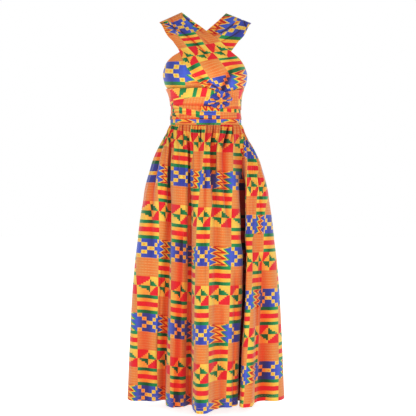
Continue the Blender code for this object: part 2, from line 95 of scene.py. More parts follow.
# %% Sections of the figure
TORSO_POWER = 2.2
TORSO = [
    # z, mid_x, half_width, front, back
    (-0.410, 0.0000, 0.1275, 0.098, 0.087),
    (-0.372, -0.0010, 0.1265, 0.096, 0.085),
    (-0.348, -0.0010, 0.1220, 0.094, 0.083),
    (-0.318, -0.0010, 0.1215, 0.098, 0.084),
    (-0.289, -0.0020, 0.1260, 0.109, 0.087),
    (-0.266, -0.0030, 0.1345, 0.124, 0.091),
    (-0.244, -0.0040, 0.1465, 0.139, 0.095),
    (-0.215, -0.0050, 0.1520, 0.148, 0.098),
    (-0.185, -0.0050, 0.1500, 0.143, 0.099),
    (-0.150, -0.0040, 0.1500, 0.127, 0.100),
    (-0.118, -0.0020, 0.1520, 0.110, 0.098),
    (-0.085, 0.0000, 0.1580, 0.092, 0.091),
    (-0.055, 0.0000, 0.1650, 0.070, 0.075),
    (-0.025, 0.0000, 0.1720, 0.042, 0.045),
]


def torso_points(angle, height):
    """Points of the figure at angles from the front and heights, arrays of one shape."""
    table = np.array(TORSO)
    mid, half, front, back = np.moveaxis(through(table[:, 0], table[:, 1:], height), -1, 0)
    depth = np.where(np.cos(angle) > 0, front, back)
    across = np.abs(np.sin(angle)) / half
    along = np.abs(np.cos(angle)) / depth
    reach = (across ** TORSO_POWER + along ** TORSO_POWER) ** (-1.0 / TORSO_POWER)
    return np.stack((mid + reach * np.sin(angle), -reach * np.cos(angle), height), axis=-1)


def torso_normals(angle, height):
    """Outward directions of the figure there."""
    round_way = torso_points(angle + 0.02, height) - torso_points(angle - 0.02, height)
    up_way = torso_points(angle, height + 0.004) - torso_points(angle, height - 0.004)
    normals = np.cross(round_way, up_way)
    return normals / np.linalg.norm(normals, axis=-1, keepdims=True)


print("sections of the figure", len(TORSO))

# %% [markdown]
# ## Measures on a grid
# Every cloth here starts as a grid of points. Its directions out give the wall its thickness, and
# lengths measured along it keep the print from stretching, as a tape measure would on real cloth.


# %% Measures on a grid
def grid_normals(grid):
    """Directions square to a grid of points, to one side all over."""
    normals = np.cross(np.gradient(grid, axis=0), np.gradient(grid, axis=1))
    return normals / np.maximum(np.linalg.norm(normals, axis=-1, keepdims=True), 1e-12)


def lengths_down(grid):
    """Cloth length from the first row down each column of a grid."""
    steps = np.linalg.norm(np.diff(grid, axis=0), axis=-1)
    return np.concatenate((np.zeros((1, grid.shape[1])), np.cumsum(steps, axis=0)))


def lengths_across(grid):
    """Cloth length from the first column along each row of a grid."""
    return lengths_down(np.swapaxes(grid, 0, 1)).T


def outward(grid):
    """Directions away from the upright axis, one for each point."""
    return grid * np.array((1.0, 1.0, 0.0))


waist = torso_points(np.linspace(-math.pi, math.pi, 361), np.full(361, -0.372))
print("round the figure at the waist", round(float(lengths_across(waist[None])[0, -1]), 3), "m")

# %% [markdown]
# ## Node helpers
# A woven pattern is sums and steps on flat coordinates. It could be drawn by hand in the shader
# editor. Written as Python expressions it is shorter and can be read: a Number wraps a socket, and
# each sum on it adds one Math node.


# %% Node helpers
class Number:
    """A number that changes over the cloth. Sums on it add Math nodes."""

    def __init__(self, nodes, socket):
        self.nodes = nodes
        self.socket = socket

    def __add__(self, other):
        return self.nodes.math("ADD", self, other)

    def __sub__(self, other):
        return self.nodes.math("SUBTRACT", self, other)

    def __rsub__(self, other):
        return self.nodes.math("SUBTRACT", other, self)

    def __mul__(self, other):
        return self.nodes.math("MULTIPLY", self, other)

    def __gt__(self, other):
        return self.nodes.math("GREATER_THAN", self, other)

    def __lt__(self, other):
        return self.nodes.math("LESS_THAN", self, other)

    def __or__(self, other):
        return self.nodes.math("MAXIMUM", self, other)

    __radd__ = __add__
    __rmul__ = __mul__

    def floor(self):
        return self.nodes.math("FLOOR", self)

    def fract(self):
        return self.nodes.math("FRACT", self)

    def abs(self):
        return self.nodes.math("ABSOLUTE", self)

    def sine(self):
        return self.nodes.math("SINE", self)

    def lesser(self, other):
        return self.nodes.math("MINIMUM", self, other)

    def clamp(self):
        return self.nodes.math("MAXIMUM", self, 0.0).lesser(1.0)

    def between(self, low, high):
        return (self > low) * (self < high)


class NodeMaker:
    """Adds nodes to one tree."""

    def __init__(self, tree):
        self.tree = tree

    def add(self, kind, settings, sockets):
        """A node from its type, its settings, and the values or links of its sockets."""
        node = self.tree.nodes.new(kind)
        for name, value in settings.items():
            setattr(node, name, value)
        for name, item in sockets.items():
            socket = next(entry for entry in node.inputs if name in (entry.identifier, entry.name))
            item = item.socket if isinstance(item, Number) else item
            if isinstance(item, bpy.types.NodeSocket):
                self.tree.links.new(item, socket)
            else:
                socket.default_value = item
        return node

    def math(self, operation, *items):
        sockets = dict(zip(("Value", "Value_001", "Value_002"), items))
        return Number(self, self.add("ShaderNodeMath", {"operation": operation}, sockets).outputs[0])

    def mix(self, factor, first, second, blend="MIX"):
        """Colour between two others. Each may be a colour or a socket."""
        settings = {"data_type": "RGBA", "blend_type": blend}
        sockets = {"Factor_Float": factor, "A_Color": first, "B_Color": second}
        node = self.add("ShaderNodeMix", settings, sockets)
        return next(out for out in node.outputs if out.identifier == "Result_Color")


print("node helpers ready")

# %% [markdown]
# ## Dyes
# The cloth is dyed in a few strong colours. They are named here as they look on a screen, and turned
# to the linear values that a material takes. Cotton swallows some light, so COTTON_SHADE dulls them
# all. In folds light passes from dyed wall to dyed wall and deepens; the two tints are painted shade for
# that.


# %% Dyes
def linear(red, green, blue):
    """A screen colour from 0 to 255 as the linear colour a material takes."""
    out = []
    for value in (red, green, blue):
        share = value / 255.0
        out.append(share / 12.92 if share <= 0.04045 else ((share + 0.055) / 1.055) ** 2.4)
    return (*out, 1.0)


ORANGE = linear(228, 146, 72)
ORANGE_DEEP = linear(230, 116, 46)
ORANGE_LIGHT = linear(226, 166, 98)
YELLOW = linear(244, 202, 80)
GOLD = linear(248, 160, 44)
RED = linear(228, 28, 42)
GREEN = linear(30, 156, 88)
GREEN_DARK = linear(12, 92, 44)
BLUE = linear(70, 94, 204)
BLUE_DARK = linear(48, 56, 150)
ZIG_RED = linear(196, 26, 18)
COTTON_SHADE = 0.82
# Painted shade: the colour is multiplied by the first tint in folds, and also by the second in the
# deepest.
PAINTED_SHADE_TINT = (0.95, 0.26, 0.20, 1.0)
PAINTED_DEEP_SHADE_TINT = (0.30, 0.12, 0.14, 1.0)
print("orange dye", [round(value, 3) for value in ORANGE[:3]])

# %% [markdown]
# ## Print
# The cloth is a strip pattern: a small repeat of two columns and four rows of cells, charted.
# One column has squares in a cross on blue, ribbed orange, stepped triangles and stripes. The other
# has a zigzag on blue, stripes, triangles and ribbed orange. An image could hold it, but maths on the
# cloth's flat coordinates stays sharp at any size. In a cell, a runs across and b down, both 0 to 1.


# %% Ribbed orange and stripes
def off_middle(a):
    """Zero on the cell's middle line, one at its sides."""
    return ((a - 0.5).abs() * 2.0).clamp()


def ribbed_orange(nodes, a, b, row):
    """Plain orange with fine ribs across, paler to the sides of the cell."""
    rib = (b * 7.0).fract().between(0.0, 0.32) * ((a * 11.0 + row * 0.37).fract() < 0.8)
    ground = nodes.mix(off_middle(a) * 0.75, ORANGE_DEEP, ORANGE)
    return nodes.mix(rib * 0.55, ground, ORANGE_LIGHT)


def stripes(nodes, a, b):
    """Green, yellow, red, yellow, green."""
    yellow = nodes.mix(off_middle(a), GOLD, YELLOW)
    green = nodes.mix(off_middle(a), GREEN_DARK, GREEN)
    off = (b - 0.5).abs()
    return nodes.mix(off < 0.13, nodes.mix(off > 0.32, yellow, green), RED)


print("plain cells ready")


# %% Stepped triangles
TRIANGLE_STEPS = 12.0
TRIANGLE_SLOPE = 0.87


def triangles(nodes, a, b):
    """Two red triangles at the corners, and two green ones that meet in the middle."""
    step_a = ((a * TRIANGLE_STEPS).floor() + 0.5) * (1.0 / TRIANGLE_STEPS)
    step_b = ((b * TRIANGLE_STEPS).floor() + 0.5) * (1.0 / TRIANGLE_STEPS)
    left = step_a < 0.5
    upper = step_b < 0.5
    right = 1.0 - left
    lower = 1.0 - upper
    red = (left * upper * ((step_a + step_b) < 0.60)) | (right * lower * ((step_a + step_b) > 1.40))
    green_one = right * upper * ((step_b - 0.10) > ((step_a - 0.5) * TRIANGLE_SLOPE))
    green_two = left * lower * ((step_b - 0.52) < ((step_a - 0.08) * TRIANGLE_SLOPE))
    ground = nodes.mix(((a - 0.5).abs() + (b - 0.5).abs()) * 1.4, GOLD, YELLOW)
    leaf = nodes.mix(((a - 0.5).abs() * 2.2).clamp(), GREEN_DARK, GREEN)
    return nodes.mix(red, nodes.mix(green_one | green_two, ground, leaf), RED)


print("triangles step by", round(1.0 / TRIANGLE_STEPS, 3), "of a cell")


# %% Cross of squares
SQUARES_ACROSS = 5.6
SQUARES_DOWN = 5.0


def cross(nodes, a, b):
    """Blue with yellow squares in a cross, each with a gold dot."""
    place_a = ((a * SQUARES_ACROSS).floor() - 2.5).abs() - 0.5
    place_b = ((b * SQUARES_DOWN).floor() - 2.0).abs()
    square = (place_a - place_b).abs() < 0.1
    dot_a = ((a * SQUARES_ACROSS).fract() - 0.5).abs()
    dot_b = ((b * SQUARES_DOWN).fract() - 0.5).abs()
    dot = (dot_a * dot_a + dot_b * dot_b) < 0.05
    blue = nodes.mix(off_middle(a), BLUE_DARK, BLUE)
    return nodes.mix(square * dot, nodes.mix(square, blue, YELLOW), GOLD)


print("squares in a cell", round(SQUARES_ACROSS * SQUARES_DOWN))


# %% Zigzag
BEATS = 3.2
BACK_PART = 0.19


def zigzag(nodes, a, b):
    """Blue with an upright zigzag: long strokes down to the right, short ones back."""
    beat = (b * BEATS + 0.85).fract()
    late = (beat - BACK_PART).fract()
    left_edge = (beat * 2.0).lesser((1.0 - beat) * 2.0) * 0.35 + 0.03
    rise = late * (1.0 / (1.0 - BACK_PART))
    right_edge = rise.lesser((1.0 - late) * (1.0 / BACK_PART)) * 0.26 + 0.62
    from_left = a - left_edge
    from_right = a - right_edge
    blue = nodes.mix(off_middle(a), BLUE_DARK, BLUE)
    colour = nodes.mix(from_right.between(-0.1, 0.08), blue, GREEN)
    colour = nodes.mix((from_left > 0.0) * (from_right < 0.0), colour, YELLOW)
    colour = nodes.mix((from_left > 0.07) * (from_right < -0.07), colour, GOLD)
    long_stroke = ((a - 0.22 - beat * (0.48 / 0.82)).abs() < 0.08) * (beat < 0.88)
    back = (beat - 0.82 + (a - 0.70) * (0.18 / 0.48)).abs() < 0.12
    return nodes.mix(long_stroke | (back * a.between(0.20, 0.74)), colour, ZIG_RED)


print("zigzag beats in a cell", BEATS)


# %% The repeat
CELL_WIDE = 0.080
CELL_HIGH = 0.0690


def print_colour(nodes, across, down):
    """The strip pattern's colour at a place in the flat cloth, in cells."""
    row = down.floor()
    a = across.fract()
    b = down.fract()
    cross_column = (across.floor() * 0.5).fract() > 0.25
    zig_column = 1.0 - cross_column
    phase = (row * 0.25).fract()
    first = phase < 0.1
    second = phase.between(0.2, 0.3)
    third = phase.between(0.45, 0.55)
    fourth = phase > 0.7
    striped = (cross_column * fourth) | (zig_column * second)
    colour = nodes.mix(striped, ribbed_orange(nodes, a, b, row), stripes(nodes, a, b))
    colour = nodes.mix(third, colour, triangles(nodes, a, b))
    colour = nodes.mix(cross_column * first, colour, cross(nodes, a, b))
    return nodes.mix(zig_column * first, colour, zigzag(nodes, a, b))


print("repeat of", 2 * CELL_WIDE, "by", 4 * CELL_HIGH, "m")

# %% [markdown]
# ## Printed cotton
# The real cloth is matt cotton with slight slubs, a plain weave and a soft dull sheen. Noise gives
# the slubs. The weave is too fine for real form, so it is two sines in a Bump node.


# %% Printed cotton
SLUB_DEPTH = 0.24
WEAVE_PITCH = 5200.0


def print_material():
    """Cotton with the strip pattern, on each piece's own flat coordinates, and painted shade in its
    folds.
    """
    material = bpy.data.materials.new("printed_cotton")
    material.use_nodes = True
    material.node_tree.nodes.clear()
    nodes = NodeMaker(material.node_tree)
    flat = nodes.add("ShaderNodeUVMap", {"uv_map": "UVMap"}, {}).outputs[0]
    split = nodes.add("ShaderNodeSeparateXYZ", {}, {"Vector": flat})
    u = Number(nodes, split.outputs[0])
    v = Number(nodes, split.outputs[1])
    colour = print_colour(nodes, u * (1.0 / CELL_WIDE), v * (1.0 / CELL_HIGH))
    slubs = nodes.add("ShaderNodeTexNoise", {}, {"Vector": flat, "Scale": 160.0, "Detail": 3.0})
    shade = Number(nodes, slubs.outputs[0]) * SLUB_DEPTH + (COTTON_SHADE - SLUB_DEPTH / 2.0)
    grey = nodes.add("ShaderNodeCombineColor", {}, {"Red": shade, "Green": shade, "Blue": shade})
    colour = nodes.mix(1.0, colour, grey.outputs[0], "MULTIPLY")
    # Painted shade: in folds the colour is multiplied by the fold tint, and past 1 by the deep tint too.
    held = nodes.add("ShaderNodeAttribute", {"attribute_name": "painted_fold_shade"}, {})
    depth = Number(nodes, held.outputs["Fac"])
    colour = nodes.mix(depth.clamp(), colour, nodes.mix(1.0, colour, PAINTED_SHADE_TINT, "MULTIPLY"))
    deep_painted_shade = ((depth - 1.0) * 1.6).clamp()
    colour = nodes.mix(deep_painted_shade, colour, nodes.mix(1.0, colour, PAINTED_DEEP_SHADE_TINT, "MULTIPLY"))
    weave = (u * WEAVE_PITCH).sine() * (v * WEAVE_PITCH).sine()
    bump = nodes.add("ShaderNodeBump", {}, {"Strength": 0.12, "Distance": 0.0002, "Height": weave})
    shader = nodes.add("ShaderNodeBsdfPrincipled", {}, {
        "Base Color": colour,
        "Roughness": 0.78,
        "Specular IOR Level": 0.25,
        "Sheen Weight": 0.15,
        "Sheen Roughness": 0.5,
        "Normal": bump.outputs[0],
    })
    nodes.add("ShaderNodeOutputMaterial", {}, {"Surface": shader.outputs[0]})
    return material


PRINT = print_material()
print("print material has", len(PRINT.node_tree.nodes), "nodes")

# %% [markdown]
# ## Cloth shells
# A cut piece of cloth is a thin wall with a front, a back and an edge all round. A Solidify modifier
# could thicken a single sheet. Here the inner side is made from the same grid, so the wall is closed
# at once, and each point keeps its flat place for the print and its amount of painted shade in the folds.

# %% Cloth shells
WALL = 0.0012


def shell_faces(rows, columns):
    """Faces of a closed wall over a grid: the outer side, the inner side and the rim."""
    number = np.arange(rows * columns).reshape(rows, columns)
    corners = (number[:-1, :-1], number[1:, :-1], number[1:, 1:], number[:-1, 1:])
    outer = np.stack([corner.ravel() for corner in corners], axis=1)
    inner = outer[:, ::-1] + rows * columns
    rim = np.concatenate((number[:, 0], number[-1, 1:], number[-2::-1, -1], number[0, -2::-1]))
    rim = np.stack((rim[1:], rim[:-1], rim[:-1] + rows * columns, rim[1:] + rows * columns), axis=1)
    return np.concatenate((outer, inner, rim))


def cloth_piece(name, node, grid, flat, facing, folds=0.0):
    """A named cloth wall on a grid of points. facing says where its outer side looks.

    folds is how much painted shade each point gets in the folds, from 0 to 1.6.
    """
    rows, columns = grid.shape[:2]
    normals = grid_normals(grid)
    if np.sum(normals * facing) < 0:
        normals = -normals
    points = np.concatenate((grid.reshape(-1, 3), (grid - normals * WALL).reshape(-1, 3)))
    faces = shell_faces(rows, columns)
    first = points[faces[0]]
    if np.dot(np.cross(first[1] - first[0], first[2] - first[0]), normals[0, 0]) < 0:
        faces = faces[:, ::-1]
    mesh = bpy.data.meshes.new(name)
    mesh.from_pydata(points.tolist(), [], faces.tolist())
    both = np.tile(flat.reshape(-1, 2), (2, 1))
    mesh.uv_layers.new(name="UVMap").data.foreach_set("uv", both[faces.ravel()].ravel())
    # The painted shade of the folds goes to a point attribute for the print material.
    held = mesh.attributes.new("painted_fold_shade", "FLOAT", "POINT")
    held.data.foreach_set("value", np.tile((np.zeros((rows, columns)) + folds).ravel(), 2))
    mesh.shade_smooth()
    mesh.set_sharp_from_angle(angle=math.radians(60))
    mesh.materials.append(PRINT)
    piece = bpy.data.objects.new(name, mesh)
    bpy.context.scene.collection.objects.link(piece)
    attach(piece, "root")
    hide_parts(node)
    print(name, len(mesh.polygons), "faces")
    return piece


print("a wall is", WALL * 1000, "mm thick")

# %% [markdown]
# ## Large folds of the skirt
# Three panels hang from the waistband in deep folds that widen to the hem. Cloth simulation would
# find folds of its own, in other places. The ones in the photo matter here, so each fold line is a
# table row: where it stands at the waist, the hip, the thigh and the hem, and the print's column.
# Beside the seam on the right, three hem places stand up to 7 mm off the solid's.

# %% Outline and fold lines
SKIRT_OUTLINE = [
    # z, half_width
    (-0.3940, 0.1310),
    (-0.4144, 0.1440),
    (-0.4514, 0.1640),
    (-0.4884, 0.1805),
    (-0.5254, 0.1940),
    (-0.5624, 0.2035),
    (-0.5994, 0.2145),
    (-0.6364, 0.2235),
    (-0.6734, 0.2290),
    (-0.7474, 0.2415),
    (-0.8214, 0.2500),
    (-0.8954, 0.2590),
    (-1.0434, 0.2720),
    (-1.1914, 0.2810),
    (-1.3394, 0.2885),
    (-1.4060, 0.2920),
]
FOLD_HEIGHTS = (-0.394, -0.500, -0.780, -1.406)
FOLDS = [
    # waist_angle, hip_x, hip_y, thigh_x, thigh_y, hem_x, hem_y, print column at hip, thigh, hem
    (-112.0, -0.1850, 0.020, -0.2490, 0.020, -0.2920, 0.030, 1.30, 1.00, 0.25),
    (-102.0, -0.1760, -0.030, -0.2340, -0.040, -0.2747, -0.035, 1.55, 1.20, 0.60),
    (-92.0, -0.1560, -0.070, -0.1957, -0.070, -0.2190, -0.050, 2.10, 1.50, 1.44),
    (-82.0, -0.1406, -0.088, -0.1560, -0.082, -0.1820, -0.045, 2.45, 2.25, 1.92),
    (-72.0, -0.1280, -0.078, -0.1345, -0.068, -0.1595, -0.022, 2.85, 2.80, 2.35),
    (-62.0, -0.1182, -0.105, -0.1205, -0.120, -0.1390, -0.128, 3.03, 3.06, 2.85),
    (-52.0, -0.0998, -0.122, -0.1026, -0.147, -0.1195, -0.166, 3.28, 3.33, 3.17),
    (-40.0, -0.0748, -0.132, -0.0775, -0.158, -0.0870, -0.160, 3.63, 3.70, 3.67),
    (-28.0, -0.0563, -0.120, -0.0563, -0.130, -0.0580, -0.108, 3.88, 4.08, 4.30),
    (-19.0, -0.0456, -0.138, -0.0440, -0.175, -0.0425, -0.203, 4.04, 4.60, 5.14),
    (-10.0, -0.0245, -0.147, -0.0275, -0.197, -0.0234, -0.258, 4.59, 5.15, 5.47),
    (-1.0, -0.0033, -0.149, -0.0031, -0.200, -0.0029, -0.256, 5.12, 5.67, 5.82),
    (8.0, 0.0144, -0.144, 0.0179, -0.190, 0.0143, -0.225, 5.50, 6.07, 6.12),
    (16.0, 0.0287, -0.126, 0.0355, -0.166, 0.0354, -0.182, 5.81, 6.29, 6.45),
    (26.0, 0.0463, -0.144, 0.0566, -0.178, 0.0568, -0.163, 6.18, 6.55, 6.80),
    (38.0, 0.0677, -0.137, 0.0851, -0.160, 0.0889, -0.152, 6.57, 6.90, 7.28),
    (54.0, 0.1000, -0.116, 0.1130, -0.138, 0.1060, -0.136, 7.06, 7.35, 7.55),
    (70.0, 0.1280, -0.056, 0.1340, -0.055, 0.1195, -0.050, 7.65, 7.80, 8.00),
    (84.0, 0.1430, -0.092, 0.1500, -0.124, 0.1330, -0.157, 0.90, 1.45, 2.05),
    (92.0, 0.1558, -0.078, 0.1651, -0.112, 0.1564, -0.148, 1.50, 1.80, 2.50),
    (99.0, 0.1616, -0.062, 0.1807, -0.080, 0.1745, -0.090, 1.60, 2.05, 3.00),
    (106.0, 0.1680, -0.050, 0.1957, -0.075, 0.1895, -0.055, 1.75, 2.55, 3.20),
    (113.0, 0.1740, -0.036, 0.2147, -0.062, 0.2190, -0.048, 1.90, 3.15, 3.50),
    (119.0, 0.1795, -0.022, 0.2302, -0.045, 0.2525, -0.044, 2.10, 3.50, 3.85),
    (126.0, 0.1850, 0.015, 0.2490, 0.020, 0.2920, 0.022, 2.30, 4.00, 4.60),
    (133.6, 0.1780, 0.045, 0.2380, 0.055, 0.2720, 0.075, 0.86, 0.86, 0.86),
    (141.2, 0.1650, 0.062, 0.2150, 0.075, 0.2400, 0.085, 1.72, 1.72, 1.72),
    (148.9, 0.1450, 0.085, 0.1900, 0.110, 0.2150, 0.150, 2.58, 2.58, 2.58),
    (156.5, 0.1200, 0.102, 0.1500, 0.135, 0.1650, 0.165, 3.44, 3.44, 3.44),
    (164.1, 0.0970, 0.106, 0.1220, 0.133, 0.1350, 0.150, 4.30, 4.30, 4.30),
    (171.8, 0.0750, 0.122, 0.0950, 0.165, 0.1050, 0.215, 5.16, 5.16, 5.16),
    (179.4, 0.0420, 0.129, 0.0520, 0.175, 0.0550, 0.225, 6.02, 6.02, 6.02),
    (187.0, 0.0180, 0.120, 0.0220, 0.158, 0.0250, 0.190, 6.88, 6.88, 6.88),
    (194.6, -0.0080, 0.132, -0.0100, 0.180, -0.0100, 0.235, 7.74, 7.74, 7.74),
    (202.2, -0.0420, 0.128, -0.0550, 0.172, -0.0600, 0.220, 8.60, 8.60, 8.60),
    (209.9, -0.0700, 0.112, -0.0920, 0.145, -0.1000, 0.175, 9.46, 9.46, 9.46),
    (217.5, -0.0940, 0.114, -0.1220, 0.155, -0.1350, 0.205, 10.32, 10.32, 10.32),
    (225.1, -0.1220, 0.098, -0.1650, 0.122, -0.1850, 0.150, 11.18, 11.18, 11.18),
    (232.8, -0.1460, 0.076, -0.1950, 0.088, -0.2250, 0.098, 12.04, 12.04, 12.04),
    (240.4, -0.1660, 0.058, -0.2260, 0.070, -0.2620, 0.100, 12.90, 12.90, 12.90),
]
print("fold lines", len(FOLDS))


# %% Rings of the skirt
FRONT_ROUND = 0.763
BACK_ROUND = 0.672


def fold_shares():
    """Each fold line at the four heights, as shares of the outline there."""
    outline = np.array(SKIRT_OUTLINE)[::-1]
    table = np.array(FOLDS)
    angle = np.radians(table[:, 0])
    depth = np.where(np.cos(angle) > 0, FRONT_ROUND, BACK_ROUND)
    shares = [np.stack((np.sin(angle), -depth * np.cos(angle)), axis=-1)]
    for key, height in enumerate(FOLD_HEIGHTS[1:]):
        half = through(outline[:, 0], outline[:, 1], height)
        shares.append(table[:, 1 + 2 * key:3 + 2 * key] / half)
    return np.array(shares)


SHARES = fold_shares()


def skirt_ring(places, height):
    """Points in plan of the large folds at one height."""
    outline = np.array(SKIRT_OUTLINE)[::-1]
    half = through(outline[:, 0], outline[:, 1], height)
    knots = through(np.array(FOLD_HEIGHTS)[::-1], SHARES[::-1], height) * half
    gaps = np.linalg.norm(np.roll(knots, -1, axis=0) - knots, axis=1)
    before = np.roll(gaps, 1)
    forward = (np.roll(knots, -1, axis=0) - knots) / gaps[:, None]
    backward = np.roll(forward, 1, axis=0)
    slopes = (forward * before[:, None] + backward * gaps[:, None]) / (gaps + before)[:, None]
    count = len(knots)
    cell = np.floor(places).astype(int) % count
    other = (cell + 1) % count
    part = (places - np.floor(places))[:, None]
    cube = part ** 3
    square = part ** 2
    return (
        (2 * cube - 3 * square + 1) * knots[cell]
        + (cube - 2 * square + part) * slopes[cell] * gaps[cell, None]
        + (3 * square - 2 * cube) * knots[other]
        + (cube - square) * slopes[other] * gaps[cell, None]
    )


hem_ring = skirt_ring(np.arange(40.0), FOLD_HEIGHTS[-1])
print("hem ring is", round(float(np.ptp(hem_ring[:, 0])), 3), "m wide")

# %% [markdown]
# ## Gathers and ripples
# At the band the cloth is drawn up into close gathers of uneven depth. They run together in pairs and
# fade by the hip, a few pinch into troughs darkened by painted shade, and soft ripples go on down. A
# displacement texture would be even all round. So the small gathers follow sines that drift against
# each other, and what stands out in the photo is placed one by one. Gathers and ripples also get painted
# shade in their hollows.

# %% Ripples and troughs
RIPPLES = [
    # place in fold lines at top and at bottom, top_z, bottom_z, half width in fold lines, depth out
    (1.2, 2.0, -0.46, -0.92, 0.30, -0.011),
    (1.7, 1.9, -0.95, -1.62, 0.50, -0.011),
    (3.2, 3.0, -0.90, -1.38, 0.16, -0.007),
    (4.0, 4.0, -0.39, -0.86, 0.28, -0.012),
    (6.4, 6.5, -0.74, -1.62, 0.90, -0.016),
    (7.8, 8.0, -0.39, -1.00, 0.24, -0.010),
    (9.6, 9.5, -0.39, -0.56, 0.22, -0.008),
    (11.0, 11.2, -0.50, -1.05, 0.22, -0.006),
    (12.6, 12.8, -0.39, -0.74, 0.34, -0.018),
    (13.9, 14.1, -1.00, -1.62, 0.40, -0.008),
    (14.8, 15.0, -0.39, -0.86, 0.38, -0.015),
    (15.8, 15.7, -0.90, -1.62, 0.45, -0.009),
    (16.5, 16.5, -0.80, -1.22, 0.30, 0.008),
    (17.0, 17.0, -0.40, -0.62, 0.45, 0.020),
    (17.0, 17.0, -0.56, -1.60, 0.36, -0.024),
    (17.55, 17.55, -0.80, -1.22, 0.30, -0.007),
    (19.5, 19.4, -0.46, -1.10, 0.25, -0.008),
    (20.4, 20.3, -1.00, -1.50, 0.18, -0.010),
    (21.5, 21.4, -0.44, -0.90, 0.25, -0.007),
    (21.4, 21.8, -0.84, -1.62, 0.70, -0.013),
    (26.4, 26.6, -0.40, -0.95, 0.30, -0.012),
    (28.5, 28.4, -0.40, -1.30, 0.26, -0.014),
    (31.4, 31.2, -0.40, -0.80, 0.26, -0.012),
    (33.5, 33.4, -0.39, -1.45, 0.28, -0.016),
    (35.4, 35.6, -0.42, -0.95, 0.24, -0.010),
    (37.5, 37.4, -0.40, -1.20, 0.28, -0.015),
    (39.3, 39.4, -0.50, -1.40, 0.26, -0.010),
]
TROUGHS = [
    # place in fold lines, top_z, bottom_z, half width in fold lines, depth out, painted shade
    (5.0, -0.395, -0.490, 0.17, -0.005, 1.5),
    (9.1, -0.392, -0.432, 0.15, -0.003, 1.2),
    (10.25, -0.400, -0.475, 0.14, -0.005, 1.6),
    (12.5, -0.400, -0.488, 0.15, -0.006, 1.6),
    (13.85, -0.395, -0.440, 0.13, -0.003, 1.2),
    (14.93, -0.398, -0.490, 0.16, -0.006, 1.6),
    (15.55, -0.395, -0.500, 0.14, -0.003, 0.9),
    (19.3, -0.396, -0.470, 0.16, -0.004, 1.3),
    (22.2, -0.396, -0.490, 0.18, -0.005, 1.4),
    (25.4, -0.396, -0.480, 0.15, -0.005, 1.4),
    (28.1, -0.396, -0.450, 0.14, -0.004, 1.2),
    (30.9, -0.398, -0.490, 0.15, -0.006, 1.5),
    (33.2, -0.396, -0.455, 0.14, -0.004, 1.2),
    (36.6, -0.400, -0.485, 0.16, -0.005, 1.5),
    (38.7, -0.396, -0.470, 0.15, -0.004, 1.2),
]
print("ripples", len(RIPPLES), "and troughs", len(TROUGHS))


# %% Gathers
GATHERS_PER_FOLD = 1.9
GATHER_DEPTH = 0.0046
PAIR_DEPTH = 0.0036
GATHERS_END = -0.470
RIPPLE_SHADE_DEPTH = 0.015


def bell(places, middle, half):
    """A soft hump round the skirt, one high at its middle."""
    off = (places - middle + 20.0) % 40.0 - 20.0
    return np.exp(-(off / half) ** 2)


def small_gathers(places, height, spacing):
    """Lift and painted shade of the gathers at the band and of the pairs below them."""
    number = places * GATHERS_PER_FOLD
    uneven = 0.72 + 0.28 * np.sin(2.4 * number + 1.0)
    sway = 0.16 * np.sin(1.7 * places + 9.0 * height)
    crest = np.abs(np.cos(math.pi * (number + sway)))
    end = GATHERS_END - 0.035 * np.sin(3.1 * places) - 0.020 * np.sin(7.3 * places + 2.0)
    depth = np.minimum(GATHER_DEPTH, 0.46 * spacing / GATHERS_PER_FOLD)
    grow = 0.55 + 0.45 * smooth(height, -0.392, -0.404)
    fade = 1.0 - smooth(height, end + 0.055, end)
    lift = depth * uneven * grow * fade * (2.0 * crest ** 0.8 - 1.2)
    fine = 0.35 * depth * np.sin(4.0 * math.pi * (number + 0.31))
    lift = lift + fine * (1.0 - smooth(height, -0.41, -0.45))
    pairs = np.sin(math.pi * (number + 0.4 + 0.3 * np.sin(0.9 * places)))
    pairs = pairs * np.minimum(PAIR_DEPTH, 0.30 * spacing) * smooth(height, -0.405, -0.455)
    pairs = pairs * (1.0 - smooth(height, end - 0.06, end - 0.22))
    # Painted shade in the troughs between gathers, and under the pairs.
    gather_painted_shade = 2.6 * uneven ** 2 * np.clip(0.80 - crest, 0.0, 1.0) * (1.0 - smooth(height, -0.415, end))
    return lift + pairs, gather_painted_shade + 0.35 * np.clip(-pairs / PAIR_DEPTH, 0.0, 1.0)


def gathers(places, height, spacing):
    """Lift of the cloth off its large folds, and the painted shade of its gathers and of its ripples."""
    lift, gather_painted_shade = small_gathers(places, height, spacing)
    # Each trough sinks the cloth a little and adds painted shade.
    for place, top, bottom, half, out, trough_painted_shade in TROUGHS:
        run = smooth(height, top, top - 0.016) * (1.0 - smooth(height, bottom + 0.035, bottom))
        lift = lift + out * run * bell(places, place, half)
        gather_painted_shade = gather_painted_shade + trough_painted_shade * run * bell(places, place, half)
    ripple_painted_shade = np.zeros_like(lift)
    for start, finish, top, bottom, half, out in RIPPLES:
        place = start + (finish - start) * smooth(height, top, bottom)
        run = smooth(height, top, top - 0.07) * (1.0 - smooth(height, bottom + 0.22, bottom))
        lift = lift + out * run * bell(places, place, half)
        # Painted shade in each ripple's valley, more where it sinks deeper.
        ripple_painted_shade = ripple_painted_shade - out * run * bell(places, place, half) / RIPPLE_SHADE_DEPTH
    return lift, gather_painted_shade, ripple_painted_shade


print("gathers round the waist", round(len(FOLDS) * GATHERS_PER_FOLD))

# %% [markdown]
# ## Painted shade in the folds
# Deep in a fold the cloth looks darker and redder. Light in the render finds part of that by itself.
# The rest is painted shade: how far each point lies inside the softened outline, with the shade of
# gathers, ripples and the seam, is kept as an attribute that the print material darkens by.

# %% Painted shade in the folds
STEPS_PER_FOLD = 16
KERNEL_REACH = 40
SEAM_PLACE = 16.9
FULL_SHADE_DEPTH = 0.030


